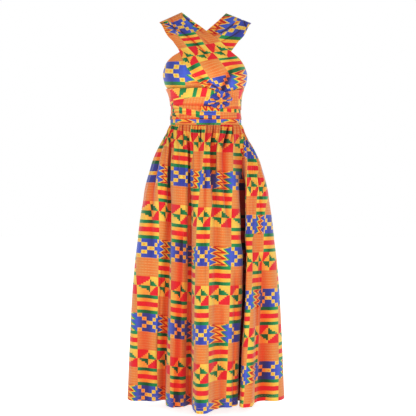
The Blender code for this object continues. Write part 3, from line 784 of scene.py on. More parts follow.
def ring_depths(height):
    """How far each place of the large folds lies inside the softened outline."""
    places = np.arange(len(FOLDS) * STEPS_PER_FOLD) / STEPS_PER_FOLD
    ring = skirt_ring(places, height)
    kernel = np.exp(-0.5 * (np.arange(-KERNEL_REACH, KERNEL_REACH + 1) / STEPS_PER_FOLD) ** 2)
    kernel = kernel / kernel.sum()
    long = np.concatenate((ring[-KERNEL_REACH:], ring, ring[:KERNEL_REACH]))
    soft = np.stack([np.convolve(long[:, axis], kernel, "valid") for axis in range(2)], axis=-1)
    way = np.roll(soft, -1, axis=0) - np.roll(soft, 1, axis=0)
    out = np.stack((way[:, 1], -way[:, 0]), axis=-1)
    out = out / np.linalg.norm(out, axis=1, keepdims=True)
    return np.append(places, len(FOLDS)), np.sum((soft - ring) * out, axis=1)


def painted_fold_shade(places, height, gather_painted_shade, ripple_painted_shade):
    """Painted shade in the folds at places round the skirt, from 0 to 1.6."""
    everywhere, inside = ring_depths(height)
    # Painted shade where the cloth lies inside the softened outline, growing below the band.
    large = np.interp(places, everywhere, np.append(inside, inside[0]))
    large = smooth(height, -0.40, -0.52) * np.clip(large / FULL_SHADE_DEPTH, 0.0, 0.85)
    # More painted shade beside the seam, below the hip.
    seam = 0.60 * np.exp(-((places - SEAM_PLACE) / 0.45) ** 2) * smooth(height, -0.56, -0.66)
    return np.clip(gather_painted_shade + np.clip(large + ripple_painted_shade, 0.0, 1.1) + seam, 0.0, 1.6)


print("deepest fold at the hem", round(float(ring_depths(FOLD_HEIGHTS[-1])[1].max()), 3), "m")

# %% [markdown]
# ## Skirt panels
# Each panel is a grid: rows at falling heights, columns along the folds. Rows are close in the
# gathers and wider below. The side panel's cloth was cut the other way up, so its print is turned
# half round.

# %% Panel grids
FRONT_DIP = 0.008
PAD = 2
BACK_COLUMNS = 12.0


def dip(angle, height):
    """The waist line hangs a little lower in front."""
    fade = 1.0 - smooth(height, -0.42, -0.75)
    return FRONT_DIP * np.maximum(np.cos(angle), 0.0) * fade


def skirt_heights():
    """Close rows in the gathers, wider ones below."""
    upper = np.linspace(-0.3943, -0.50, 34)[:-1]
    lower = np.linspace(-0.50, -1.4060, 100)
    return np.concatenate((upper, lower))


def column_keys(first, last):
    """Print column of each fold line of a panel, at the four heights."""
    table = np.array(FOLDS)
    lines = np.arange(first, last + 1)
    keys = table[lines % len(FOLDS), 7:10]
    if first > 0:
        keys[0] = 0.0
    if last == len(FOLDS):
        keys[-1] = BACK_COLUMNS
    angles = table[lines % len(FOLDS), 0] + 360.0 * (lines >= len(FOLDS))
    share = (angles - angles[0]) / (angles[-1] - angles[0])
    waist = keys[0, 2] + share * (keys[-1, 2] - keys[0, 2])
    return np.stack((waist, keys[:, 0], keys[:, 1], keys[:, 2]))


def skirt_grid(first, last, per_fold):
    """Outer points of a panel, the print column of each, and its painted shade in the folds."""
    places = np.linspace(first, last, (last - first) * per_fold + 1)
    beyond = np.arange(1, PAD + 1) / per_fold
    wide = np.concatenate((first - beyond[::-1], places, last + beyond))
    keys = column_keys(first, last)[::-1]
    rows = []
    prints = []
    painted_shades = []
    for height in skirt_heights():
        ring = skirt_ring(wide % len(FOLDS), height)
        tangent = np.gradient(ring, axis=0)
        length = np.linalg.norm(tangent, axis=1, keepdims=True)
        normal = np.stack((tangent[:, 1], -tangent[:, 0]), axis=-1) / length
        lift, gather_painted_shade, ripple_painted_shade = gathers(wide, height, length[:, 0] * per_fold)
        moved = ring + normal * lift[:, None]
        low = height - dip(np.arctan2(moved[:, 0], -moved[:, 1]), height)
        rows.append(np.column_stack((moved, low))[PAD:-PAD])
        painted_shades.append(painted_fold_shade(wide % len(FOLDS), height, gather_painted_shade, ripple_painted_shade)[PAD:-PAD])
        knots = through(np.array(FOLD_HEIGHTS)[::-1], keys, height)
        prints.append(np.interp(places, np.arange(first, last + 1), knots))
    return np.array(rows), np.array(prints), np.array(painted_shades)


print("rows in a panel", len(skirt_heights()))

# %% Print rows
FRONT_ROWS = [
    # z, print row
    (-0.3940, -2.33),
    (-0.4176, -2.00),
    (-0.4860, -1.00),
    (-0.5547, 0.00),
    (-0.8280, 4.00),
    (-1.0995, 8.00),
    (-1.3640, 12.00),
    (-1.4060, 12.64),
]
SIDE_ROWS = [
    # z, print row
    (-0.3940, -0.83),
    (-0.4507, 0.00),
    (-0.7253, 4.00),
    (-0.9942, 8.00),
    (-1.2598, 12.00),
    (-1.4060, 14.20),
]
FRONT_SLOPE = [
    # place in fold lines, print rows more
    (0.0, 0.26),
    (2.0, 0.23),
    (4.0, 0.13),
    (6.0, 0.05),
    (8.0, -0.02),
    (9.0, -0.08),
    (11.0, -0.09),
    (13.0, -0.10),
    (15.0, -0.15),
    (17.0, -0.18),
]


def print_rows(table, heights):
    """Print row at each height."""
    table = np.array(table)[::-1]
    return through(table[:, 0], table[:, 1], heights)


def hem_length(grid):
    """Length of a panel's hem along its folds."""
    return round(float(lengths_across(grid[-1:])[0, -1]), 3)


print("print rows down the front", FRONT_ROWS[-1][1] - FRONT_ROWS[0][1])

# %% Front panel
# folds here is each point's painted shade in the folds.
grid, column, folds = skirt_grid(0, 17, 18)
slope = np.array(FRONT_SLOPE)
row = print_rows(FRONT_ROWS, skirt_heights())[:, None]
row = row + through(slope[:, 0], slope[:, 1], np.linspace(0.0, 17.0, grid.shape[1]))[None, :]
flat = np.stack((column * CELL_WIDE, row * CELL_HIGH), axis=-1)
skirt_front = cloth_piece(
    "skirt_front_cloth", "skirt_front_panel", grid, flat, outward(grid), folds
)
hem_front = grid[-3]
print("front hem", hem_length(grid), "m")

# %% Side panel
grid, column, folds = skirt_grid(17, 24, 20)
row = print_rows(SIDE_ROWS, skirt_heights())[:, None] + 0.0 * column
flat = np.stack(((1.0 - column) * CELL_WIDE, (1.0 - row) * CELL_HIGH), axis=-1)
skirt_side = cloth_piece(
    "skirt_side_cloth", "skirt_side_panel", grid, flat, outward(grid), folds
)
hem_side = grid[-3]
print("side hem", hem_length(grid), "m")

# %% Back panel
grid, column, folds = skirt_grid(24, 40, 16)
row = print_rows(FRONT_ROWS, skirt_heights())[:, None] + 0.0 * column
flat = np.stack((column * CELL_WIDE, row * CELL_HIGH), axis=-1)
skirt_back = cloth_piece(
    "skirt_back_cloth", "skirt_back_panel", grid, flat, outward(grid), folds
)
hem_back = grid[-3]
print("back hem", hem_length(grid), "m")

# %% [markdown]
# ## Waistband
# A straight strip, folded double and sewn to the gathers. It could be a curve with a flat profile.
# It is a grid on the figure like the wraps over it, so that they lie on it with no gap.

# %% Waistband
BAND_TOP = -0.3720
BAND_BOTTOM = -0.3940
BAND_OFFSET = 0.0024
BAND_PITCH = 0.089
ROUND_COLUMNS = 241
MIDDLE_COLUMN = 120


def torso_grid(degrees, tops, bottoms, rows, offset_of):
    """Outer grid on the figure, top row first. offset_of takes shares down and degrees."""
    share = np.linspace(0.0, 1.0, rows)[:, None]
    heights = tops[None, :] + (bottoms - tops)[None, :] * share
    angle = np.radians(degrees)[None, :] + 0.0 * heights
    base = torso_points(angle, heights)
    lift = offset_of(share + 0.0 * heights, degrees[None, :] + 0.0 * heights)
    grid = base + torso_normals(angle, heights) * lift[..., None]
    grid[..., 2] -= FRONT_DIP * np.maximum(np.cos(angle), 0.0)
    return grid


def band_offset(share, degrees):
    """Offset of the waistband, with a faint ripple round it."""
    ripple = 0.0003 * np.sin(np.radians(degrees) * 37.0) * np.sin(math.pi * share)
    return BAND_OFFSET + WALL + ripple


degrees = np.linspace(-180.0, 180.0, ROUND_COLUMNS)
level = np.ones(ROUND_COLUMNS)
grid = torso_grid(degrees, BAND_TOP * level, BAND_BOTTOM * level, 9, band_offset)
across = lengths_across(grid)
across = across - across[:, MIDDLE_COLUMN:MIDDLE_COLUMN + 1]
flat = np.stack((CELL_WIDE * (1.0 + (0.055 - across) / BAND_PITCH), 0.0150 - lengths_down(grid)), axis=-1)
waistband = cloth_piece(
    "waistband_cloth", "waistband", grid, flat, outward(grid)
)
band_rows = (grid[1], grid[-2])

# %% [markdown]
# ## Waist wraps
# The ends of the straps are wound round the waist and drawn flat, so the cloth lies in lengthwise
# pleats that wander across it and run together towards the twist. Each pleat is a soft ridge along
# a line between two shares of the wrap's height. The print is turned a quarter, as the strap is.
# The left wrap's top is drawn a little higher near the middle than its solid, so no gap shows.

# %% Edges and pleats of the wraps
WRAP_LOWER_OFFSETS = (0.0041, 0.0064)
WRAP_UPPER_OFFSETS = (0.0089, 0.0065)
WRAP_LOWER = [
    # angle, bottom_z, top_z
    (-180.0, -0.3745, -0.3240),
    (-90.0, -0.3745, -0.3180),
    (-30.0, -0.3745, -0.3190),
    (30.0, -0.3745, -0.3300),
    (90.0, -0.3745, -0.3340),
    (180.0, -0.3745, -0.3240),
]
WRAP_UPPER_LEFT = [
    # angle, bottom_z, top_z
    (-179.8, -0.3272, -0.2700),
    (-140.0, -0.3240, -0.2640),
    (-90.0, -0.3215, -0.2590),
    (-30.0, -0.3225, -0.2610),
    (5.0, -0.3255, -0.2625),
    (22.0, -0.3270, -0.2800),
]
WRAP_UPPER_RIGHT = [
    # angle, bottom_z, top_z
    (23.0, -0.3300, -0.2830),
    (40.0, -0.3345, -0.2720),
    (60.0, -0.3365, -0.2640),
    (90.0, -0.3375, -0.2590),
    (140.0, -0.3315, -0.2640),
    (179.8, -0.3272, -0.2700),
]
PLEATS_LOWER = [
    # share down at left, share down at right, half width, lift
    (0.22, 0.08, 0.08, 0.0026),
    (0.45, 0.28, 0.07, 0.0030),
    (0.68, 0.52, 0.08, 0.0028),
    (0.88, 0.80, 0.07, 0.0016),
]
PLEATS_UPPER = [
    # share down at left, share down at right, half width, lift
    (0.14, 0.32, 0.07, 0.0026),
    (0.38, 0.48, 0.06, 0.0032),
    (0.62, 0.60, 0.06, 0.0030),
    (0.84, 0.74, 0.07, 0.0024),
]
print("pleats in the wraps", len(PLEATS_LOWER) + len(PLEATS_UPPER))


# %% Pleats
WRAP_ROWS = 30
PLEAT_SHADE_LIFT = 0.0015


def plain_lift(offsets, share):
    """Offset of a wrap with no pleats, from its top to its bottom."""
    return offsets[1] + (offsets[0] - offsets[1]) * share + WALL + 0.0004


def pleated(table, offsets, left, right):
    """Offset of a wrap with lengthwise pleats that wander across it."""

    def offset(share, degrees):
        lift = plain_lift(offsets, share)
        part = (degrees - left) / (right - left)
        flatter = 1.0 - 0.7 * np.exp(-((np.abs(degrees) - 92.0) / 20.0) ** 2)
        for index, (start, end, half, out) in enumerate(table):
            wander = 0.03 * np.sin(math.radians(1.0) * degrees * (1.3 + index))
            middle = start + (end - start) * part + wander
            strength = 0.75 + 0.25 * np.sin(np.radians(degrees) * (2.0 + 0.7 * index) + index)
            lift = lift + out * strength * flatter * np.exp(-((share - middle) / half) ** 2)
        return lift

    return offset


def pleat_painted_shade(grid, offsets):
    """Painted shade between pleats: the less a point lifts over the plain wrap, the more shade."""
    share = np.linspace(0.0, 1.0, WRAP_ROWS)[:, None]
    level = grid.copy()
    level[..., 2] += FRONT_DIP * np.maximum(np.cos(np.arctan2(grid[..., 0], -grid[..., 1])), 0.0)
    figure = np.array(TORSO)
    mid = through(figure[:, 0], figure[:, 1:], level[..., 2])[..., 0]
    angle = np.arctan2(level[..., 0] - mid, -level[..., 1])
    lift = np.linalg.norm(level - torso_points(angle, level[..., 2]), axis=-1)
    lift = lift - plain_lift(offsets, share)
    return 1.15 * (1.0 - np.clip(lift / PLEAT_SHADE_LIFT, 0.0, 1.0)) ** 1.5


def wrap_grid(table, degrees, offset_of):
    """Grid of a wrap between the two edges in its table."""
    table = np.array(table)
    bottom, top = through(table[:, 0], table[:, 1:], degrees).T
    return torso_grid(degrees, top, bottom, WRAP_ROWS, offset_of)


def turned_print(row, column):
    """Flat places for print turned a quarter, from its row and column numbers."""
    return np.stack((column * CELL_WIDE, row * CELL_HIGH), axis=-1)


print("rows in a wrap", WRAP_ROWS)

# %% Lower wrap
degrees = np.linspace(-180.0, 180.0, ROUND_COLUMNS)
grid = wrap_grid(WRAP_LOWER, degrees, pleated(PLEATS_LOWER, WRAP_LOWER_OFFSETS, -90.0, 90.0))
across = lengths_across(grid)
across = across - across[:, MIDDLE_COLUMN:MIDDLE_COLUMN + 1]
# Print rows run round the waist and columns down it. A tuck on the left shows the next column.
row = (across + 0.0211) / np.where(across < -0.0211, 0.0825, 0.0735)
below = -0.3534 + 0.25 * np.clip(-0.021 - across, 0.0, 0.12) - grid[..., 2]
column = np.where(below > 0.0, 3.0 + below / 0.0800, 2.74 + below / 0.0560)
tuck = -0.3583 - 0.25 * np.clip(across + 0.095, -0.02, 0.09)
column = np.where((grid[..., 2] < tuck) & (across < -0.022), column + 1.0, column)
wrap_lower = cloth_piece(
    "wrap_lower_cloth", "wrap_lower",
    grid, turned_print(row, column), outward(grid), pleat_painted_shade(grid, WRAP_LOWER_OFFSETS),
)

# %% Upper wrap, left
degrees = np.linspace(-179.8, 22.0, 150)
grid = wrap_grid(WRAP_UPPER_LEFT, degrees, pleated(PLEATS_UPPER, WRAP_UPPER_OFFSETS, -90.0, 22.0))
across = lengths_across(grid)
centre = int(np.argmin(np.abs(degrees)))
across = across - across[:, centre:centre + 1]
# The first print row ends at a slanting line, which steps where one pleat covers another.
start = 0.0300 + 0.30 * (grid[..., 2] + 0.3031)
start = np.where(grid[..., 2] < -0.3040, start - 0.030, start)
row = 1.0 - (across - start) / 0.0792
row = np.where(row > 2.0, 2.0 + 0.72 * (row - 2.0), row)
column = 3.0 + (-0.3031 - grid[..., 2] + 0.05 * across) / 0.0778
wrap_left = cloth_piece(
    "wrap_upper_left_cloth", "wrap_upper_left",
    grid, turned_print(row, column), outward(grid), pleat_painted_shade(grid, WRAP_UPPER_OFFSETS),
)

# %% Upper wrap, right
degrees = np.linspace(23.0, 179.8, 120)
grid = wrap_grid(WRAP_UPPER_RIGHT, degrees, pleated(PLEATS_UPPER, WRAP_UPPER_OFFSETS, 23.0, 100.0))
# Print rows are counted from 16 mm beside the twist.
row = 1.0 + (lengths_across(grid) - 0.016) / 0.0792
column = 3.04 + (-0.2660 - grid[..., 2]) / 0.0800
wrap_right = cloth_piece(
    "wrap_upper_right_cloth", "wrap_upper_right",
    grid, turned_print(row, column), outward(grid), pleat_painted_shade(grid, WRAP_UPPER_OFFSETS),
)

# %% [markdown]
# ## Twist
# The wraps cross in front in a small gathered knot. Its folds start in a pinched middle and spread to
# the rim. A cloth simulation of a real twist would take many tries to land in this form. A round grid
# with eight ridges gives it, and the print is spread so that each ridge shows the same blue. Its
# middle stands about 4 mm to the right of the solid's, nearer to its place in the photo.

# %% Twist
TWIST_OFFSET = 0.0123
TWIST_MIDDLE = (27.0, -0.3035)
TWIST_HALF_ANGLE = 23.0
TWIST_HALF_HEIGHT = 0.036
TWIST_DOME = 0.0095
TWIST_RIM = 0.80
TWIST_PRINT_REACH = 0.0385
TWIST_FOLDS = [
    # direction in degrees, half width in degrees, lift, share of the full reach
    (8.0, 12.0, 0.0040, 1.00),
    (52.0, 12.0, 0.0034, 0.98),
    (92.0, 11.0, 0.0030, 0.96),
    (138.0, 13.0, 0.0040, 0.90),
    (186.0, 13.0, 0.0042, 1.00),
    (231.0, 12.0, 0.0036, 0.94),
    (278.0, 12.0, 0.0040, 0.92),
    (323.0, 12.0, 0.0036, 0.98),
]
turns = np.linspace(0.0, 360.0, 181)
reaches = np.linspace(0.02, 1.0, 30)[:, None]
folds = np.zeros_like(turns)
rim = np.full_like(turns, TWIST_RIM)
for direction, half, lift, far in TWIST_FOLDS:
    off = (turns - direction + 180.0) % 360.0 - 180.0
    folds = folds + lift * np.exp(-(off / half) ** 2)
    rim = rim + (far - TWIST_RIM) * np.exp(-(off / (1.3 * half)) ** 2)
print("twist folds", len(TWIST_FOLDS))

# %% Twist cloth
degrees = TWIST_MIDDLE[0] + TWIST_HALF_ANGLE * rim * reaches * np.cos(np.radians(turns))
heights = TWIST_MIDDLE[1] + TWIST_HALF_HEIGHT * rim * reaches * np.sin(np.radians(turns))
angle = np.radians(degrees)
dome = TWIST_DOME * np.sin(math.pi * np.minimum(reaches * 0.92 + 0.08, 1.0)) ** 0.8
arch = np.sin(math.pi * np.minimum(reaches, 1.0))
lift = TWIST_OFFSET + WALL + dome - 0.0016 + folds * arch ** 0.6
grid = torso_points(angle, heights) + torso_normals(angle, heights) * lift[..., None]
grid[..., 2] -= FRONT_DIP * np.maximum(np.cos(angle), 0.0)
ridges = [row[0] for row in TWIST_FOLDS]
marks = [ridges[-1] - 360.0] + ridges + [ridges[0] + 360.0]
spread = np.radians(np.interp(turns, marks, 90.0 * np.arange(-1, len(ridges) + 1)))
away = TWIST_PRINT_REACH * reaches * rim
flat = np.stack((
    CELL_WIDE * 3.536 + away * np.cos(spread),
    CELL_HIGH * 0.5 + away * np.sin(spread),
), axis=-1)
facing = np.zeros_like(grid) + np.array((0.4, -1.0, 0.0))
# Painted shade between the ridges of the twist, fading towards its middle and rim.
painted_shades = 1.15 * (1.0 - np.clip(folds / 0.0028, 0.0, 1.0)) * arch ** 0.5
twist = cloth_piece(
    "wrap_twist_cloth", "wrap_twist", grid, flat, facing, painted_shades
)

# %% [markdown]
# ## Straps
# Each strap comes up from the waist, widens into a cup over the bust, goes over the shoulder and down
# the back to the other side. Its two edges are a table of stations, and the cloth between them is
# laid on the figure, except on top of the shoulders, where it stands free. Creases run along it, close
# together where it is drawn in.

# %% Edges of the straps
STRAP_LEFT = [
    # left edge x, y, z, right edge x, y, z
    (0.0650, -0.105, -0.3250, 0.1280, 0.035, -0.3180),
    (0.0466, -0.130, -0.2896, 0.1370, 0.038, -0.2850),
    (0.0040, -0.140, -0.2766, 0.1480, 0.030, -0.2550),
    (-0.0458, -0.145, -0.2311, 0.1530, 0.008, -0.2260),
    (-0.0746, -0.125, -0.1821, 0.1424, -0.050, -0.1923),
    (-0.0850, -0.110, -0.1570, 0.1227, -0.090, -0.1620),
    (-0.0934, -0.095, -0.1341, 0.0898, -0.110, -0.1367),
    (-0.1120, -0.075, -0.1040, 0.0450, -0.100, -0.0980),
    (-0.1312, -0.050, -0.0773, 0.0000, -0.078, -0.0620),
    (-0.1500, -0.030, -0.0480, -0.0450, -0.048, -0.0220),
    (-0.1640, -0.014, -0.0260, -0.0790, -0.018, 0.0090),
    (-0.1700, 0.004, -0.0185, -0.0888, 0.004, 0.0185),
    (-0.1550, 0.026, -0.0290, -0.0750, 0.028, 0.0080),
    (-0.1300, 0.052, -0.0620, -0.0520, 0.060, -0.0300),
    (-0.0940, 0.075, -0.1050, -0.0140, 0.083, -0.0800),
    (-0.0600, 0.090, -0.1500, 0.0170, 0.098, -0.1250),
    (-0.0250, 0.096, -0.1950, 0.0520, 0.097, -0.1700),
    (0.0100, 0.094, -0.2400, 0.0790, 0.085, -0.2150),
    (0.0420, 0.086, -0.2850, 0.1030, 0.070, -0.2580),
    (0.0600, 0.075, -0.3220, 0.1180, 0.042, -0.3000),
]
STRAP_RIGHT = [
    # outer edge x, y, z, inner edge x, y, z
    (-0.0700, -0.105, -0.3250, -0.1320, 0.035, -0.3180),
    (-0.0530, -0.130, -0.2896, -0.1420, 0.038, -0.2850),
    (-0.0110, -0.140, -0.2766, -0.1540, 0.030, -0.2550),
    (0.0390, -0.145, -0.2311, -0.1600, 0.008, -0.2230),
    (0.0700, -0.125, -0.1821, -0.1500, -0.050, -0.1830),
    (0.0820, -0.110, -0.1570, -0.1260, -0.090, -0.1560),
    (0.0920, -0.095, -0.1341, -0.0900, -0.110, -0.1360),
    (0.1110, -0.075, -0.1040, -0.0450, -0.100, -0.0980),
    (0.1300, -0.050, -0.0773, 0.0000, -0.078, -0.0620),
    (0.1470, -0.030, -0.0480, 0.0380, -0.048, -0.0240),
    (0.1605, -0.014, -0.0260, 0.0660, -0.018, 0.0080),
    (0.1665, 0.004, -0.0185, 0.0740, 0.004, 0.0185),
    (0.1525, 0.026, -0.0290, 0.0640, 0.028, 0.0080),
    (0.1280, 0.052, -0.0620, 0.0510, 0.060, -0.0300),
    (0.0920, 0.075, -0.1050, 0.0140, 0.083, -0.0800),
    (0.0590, 0.090, -0.1500, -0.0170, 0.098, -0.1250),
    (0.0240, 0.096, -0.1950, -0.0520, 0.097, -0.1700),
    (-0.0110, 0.094, -0.2400, -0.0790, 0.085, -0.2150),
    (-0.0430, 0.086, -0.2850, -0.1030, 0.070, -0.2580),
    (-0.0610, 0.075, -0.3220, -0.1190, 0.042, -0.3000),
]
print("stations of a strap", len(STRAP_LEFT))

# %% Creases of the straps
STRAP_CREASES_LEFT = [
    # row start, row end, share across at start, share across at end, half width, lift
    (8.0, 10.6, 0.48, 0.04, 0.030, -0.0034),
    (4.4, 8.8, 0.42, 0.48, 0.026, -0.0030),
    (7.6, 10.4, 0.86, 0.95, 0.028, -0.0032),
    (7.0, 10.6, 0.66, 0.70, 0.050, 0.0024),
    (8.2, 10.8, 0.30, 0.52, 0.035, -0.0022),
    (4.6, 8.2, 0.22, 0.24, 0.050, 0.0020),
    (5.4, 8.4, 0.66, 0.72, 0.030, -0.0018),
    (1.4, 3.8, 0.22, 0.58, 0.034, -0.0042),
    (1.6, 3.4, 0.32, 0.66, 0.034, 0.0030),
    (1.7, 3.0, 0.28, 0.10, 0.030, -0.0034),
    (12.0, 18.0, 0.30, 0.35, 0.060, 0.0020),
    (12.0, 19.0, 0.65, 0.60, 0.050, -0.0020),
]
STRAP_CREASES_RIGHT = [
    # row start, row end, share across at start, share across at end, half width, lift
    (7.0, 10.4, 0.76, 0.36, 0.030, -0.0036),
    (7.4, 10.6, 0.62, 0.24, 0.040, 0.0026),
    (9.0, 11.4, 0.00, 0.48, 0.032, -0.0030),
    (7.3, 10.2, 0.70, 1.00, 0.030, -0.0030),
    (6.6, 9.0, 0.42, 0.24, 0.030, -0.0028),
    (2.0, 4.4, 0.24, 0.60, 0.060, 0.0014),
    (12.0, 19.0, 0.35, 0.30, 0.060, 0.0020),
    (12.0, 18.0, 0.68, 0.60, 0.050, -0.0020),
]
print("creases", len(STRAP_CREASES_LEFT) + len(STRAP_CREASES_RIGHT))


# %% Strap forms
def strap_base(table, rows, columns):
    """Points of a strap on the figure, and its directions out."""
    table = np.array(table)
    places = np.linspace(0.0, len(table) - 1, rows)
    edges = through(np.arange(len(table)), table, places)
    share = np.linspace(0.0, 1.0, columns)[None, :, None]
    free = (1.0 - share) * edges[:, None, :3] + share * edges[:, None, 3:]
    heights = free[..., 2]
    weight = (1.0 - smooth(heights, -0.065, -0.022))[..., None]
    figure = np.array(TORSO)
    mid = through(figure[:, 0], figure[:, 1:], heights)[..., 0]
    angle = np.arctan2(free[..., 0] - mid, -free[..., 1])
    base = free + weight * (torso_points(angle, heights) - free)
    own = grid_normals(base)
    crest = int(np.argmax(base[:, 0, 2]))
    if own[crest, 0, 2] < 0:
        own = -own
    normals = own * (1.0 - weight) + torso_normals(angle, heights) * weight
    return places, base, normals / np.linalg.norm(normals, axis=-1, keepdims=True)


def strap_grid(table, offset, creases, rows, columns):
    """Stations, points on the figure, outer points, and painted shade in the creases of a strap."""
    places, base, normals = strap_base(table, rows, columns)
    share = np.linspace(0.0, 1.0, columns)[None, :]
    lift = np.full(base.shape[:2], offset + WALL)
    crease_painted_shade = np.zeros(base.shape[:2])
    for start, end, near, far, half, out in creases:
        part = np.clip((places - start) / (end - start), 0.0, 1.0)
        run = (np.sin(math.pi * part) ** 0.6)[:, None]
        middle = (near + (far - near) * part)[:, None]
        lift = lift + out * run * np.exp(-((share - middle) / half) ** 2)
        # Painted shade where a crease sinks in.
        crease_painted_shade = crease_painted_shade - out / 0.0024 * run * np.exp(-((share - middle) / half) ** 2)
    return places, base, base + normals * np.maximum(lift, 0.0004)[..., None], np.clip(crease_painted_shade, 0.0, 1.3)


print("strap forms ready")

# %% Print on the straps
STRAP_PRINT_LEFT = [
    # station, print row at left, bow of the middle, row at right, column at left, bow, column at right
    (0.0, 5.30, -0.20, 5.90, 0.65, 0.10, 3.50),
    (2.0, 4.55, 0.05, 5.15, 0.30, 0.45, 3.25),
    (3.5, 3.00, 0.10, 4.30, 0.20, 0.40, 3.05),
    (5.0, 2.30, -0.10, 3.20, 0.20, 0.20, 3.05),
    (6.5, 1.85, -0.05, 2.20, 0.40, 0.10, 2.90),
    (8.0, 1.10, -0.20, 1.15, 0.40, 0.05, 2.60),
    (9.5, 0.30, -0.20, 0.15, 0.50, 0.05, 2.20),
    (11.0, -0.65, -0.05, -0.60, 0.45, 0.05, 2.00),
    (19.0, -5.80, 0.00, -5.70, 0.45, 0.00, 2.10),
]
STRAP_PRINT_RIGHT = [
    # station, print row at left, bow of the middle, row at right, column at left, bow, column at right
    (0.0, 6.80, -0.10, 6.40, 0.25, -0.10, -1.50),
    (2.0, 5.35, -0.05, 5.45, 0.85, -0.35, -1.15),
    (3.5, 4.20, -0.05, 4.60, 1.30, -0.25, -0.90),
    (5.0, 3.00, 0.00, 3.55, 1.65, 0.00, -0.55),
    (6.5, 1.65, -0.20, 2.10, 1.75, 0.05, -0.05),
    (8.0, 0.95, -0.05, 0.90, 1.70, 0.05, 0.35),
    (9.5, 0.35, 0.05, 0.10, 1.70, 0.00, 0.50),
    (11.0, -0.15, 0.20, -0.45, 1.75, -0.05, 0.65),
    (19.0, -5.60, 0.00, -5.70, 1.70, 0.00, 0.30),
]


def strap_flat(table, places, base):
    """Flat coordinates on a strap, by cloth length across it, with the print turned half round."""
    share = lengths_across(base)
    share = share / share[:, -1:]
    table = np.array(table)
    held = through(table[:, 0], table[:, 1:], places)[:, None, :]
    bow = 4.0 * share * (1.0 - share)
    row = held[..., 0] * (1.0 - share) + held[..., 2] * share + held[..., 1] * bow
    column = held[..., 3] * (1.0 - share) + held[..., 5] * share + held[..., 4] * bow
    return np.stack(((3.0 - column) * CELL_WIDE, (1.0 - row) * CELL_HIGH), axis=-1)


print("print stations", len(STRAP_PRINT_LEFT))

# %% Straps
STRAP_RIGHT_OFFSET = 0.0006
STRAP_LEFT_OFFSET = 0.0040
STRAP_ROWS = 240
STRAP_COLUMNS = 72


def strap_cloth(name, node, table, offset, creases, prints):
    """One strap, and the two rows that its edge stitches follow."""
    places, base, grid, folds = strap_grid(table, offset, creases, STRAP_ROWS, STRAP_COLUMNS)
    facing = np.zeros_like(grid)
    facing[..., 1] = np.where(places < 10.0, -1.0, 0.2)[:, None]
    flat = strap_flat(prints, places, base)
    piece = cloth_piece(name, node, grid, flat, facing, folds)
    return piece, [grid[:, 2], grid[:, -3]]


strap_left, left_edges = strap_cloth(
    "strap_left_cloth", "strap_left",
    STRAP_LEFT, STRAP_LEFT_OFFSET, STRAP_CREASES_LEFT, STRAP_PRINT_LEFT,
)
strap_right, right_edges = strap_cloth(
    "strap_right_cloth", "strap_right",
    STRAP_RIGHT, STRAP_RIGHT_OFFSET, STRAP_CREASES_RIGHT, STRAP_PRINT_RIGHT,
)

# %% [markdown]
# ## Stitches
# Such dresses are sewn with rows of machine stitches at the hem, at both edges of the waistband and
# along the straps, though the photo is too small to show them. An array along a curve could set
# them. Geometry Nodes set one small thread form on each point of a row, turned along it, with the
# stitch length and thread width as named inputs.


# %% Sewing thread
def thread_material():
    """Gold sewing thread, a little uneven along the row, with a fine ply."""
    material = bpy.data.materials.new("sewing_thread")
    material.use_nodes = True
    material.node_tree.nodes.clear()
    nodes = NodeMaker(material.node_tree)
    where = nodes.add("ShaderNodeTexCoord", {}, {}).outputs["Object"]
    noise = nodes.add("ShaderNodeTexNoise", {}, {"Vector": where, "Scale": 300.0}).outputs[0]
    colour = nodes.mix(noise, linear(236, 150, 60), linear(250, 196, 96))
    bump = nodes.add("ShaderNodeBump", {}, {"Strength": 0.3, "Distance": 0.0001, "Height": noise})
    shader = nodes.add("ShaderNodeBsdfPrincipled", {}, {
        "Base Color": colour,
        "Roughness": 0.55,
        "Normal": bump.outputs[0],
    })
    nodes.add("ShaderNodeOutputMaterial", {}, {"Surface": shader.outputs[0]})
    return material


THREAD = thread_material()
print("thread material has", len(THREAD.node_tree.nodes), "nodes")

# %% Stitch tree
STITCH_SIZES = {"Stitch Length": 0.0024, "Thread Width": 0.0007}


def stitch_tree():
    """Node group that sets one thread form on each point, turned along the row."""
    group = bpy.data.node_groups.new("stitch_row", "GeometryNodeTree")
    group.interface.new_socket("Row", in_out="INPUT", socket_type="NodeSocketGeometry")
    for name, measure in STITCH_SIZES.items():
        socket = group.interface.new_socket(name, in_out="INPUT", socket_type="NodeSocketFloat")
        socket.default_value = measure
    group.interface.new_socket("Stitches", in_out="OUTPUT", socket_type="NodeSocketGeometry")
    nodes = NodeMaker(group)
    entry = nodes.add("NodeGroupInput", {}, {}).outputs
    thread = nodes.add("GeometryNodeMeshIcoSphere", {}, {"Radius": 0.5, "Subdivisions": 1})
    width = entry["Thread Width"]
    size = nodes.add("ShaderNodeCombineXYZ", {}, {"X": entry["Stitch Length"], "Y": width, "Z": width})
    sockets = {"Geometry": thread.outputs["Mesh"], "Scale": size.outputs[0]}
    shape = nodes.add("GeometryNodeTransform", {}, sockets)
    way = nodes.add("GeometryNodeInputNamedAttribute", {"data_type": "FLOAT_VECTOR"}, {"Name": "way"})
    held = next(out for out in way.outputs if out.enabled and out.name == "Attribute")
    turn = nodes.add("FunctionNodeAlignRotationToVector", {"axis": "X"}, {"Vector": held})
    sockets = {"Points": entry["Row"], "Instance": shape.outputs[0], "Rotation": turn.outputs[0]}
    place = nodes.add("GeometryNodeInstanceOnPoints", {}, sockets)
    real = nodes.add("GeometryNodeRealizeInstances", {}, {"Geometry": place.outputs[0]})
    sockets = {"Geometry": real.outputs[0], "Material": THREAD}
    finish = nodes.add("GeometryNodeSetMaterial", {}, sockets)
    nodes.add("NodeGroupOutput", {}, {"Stitches": finish.outputs[0]})
    return group


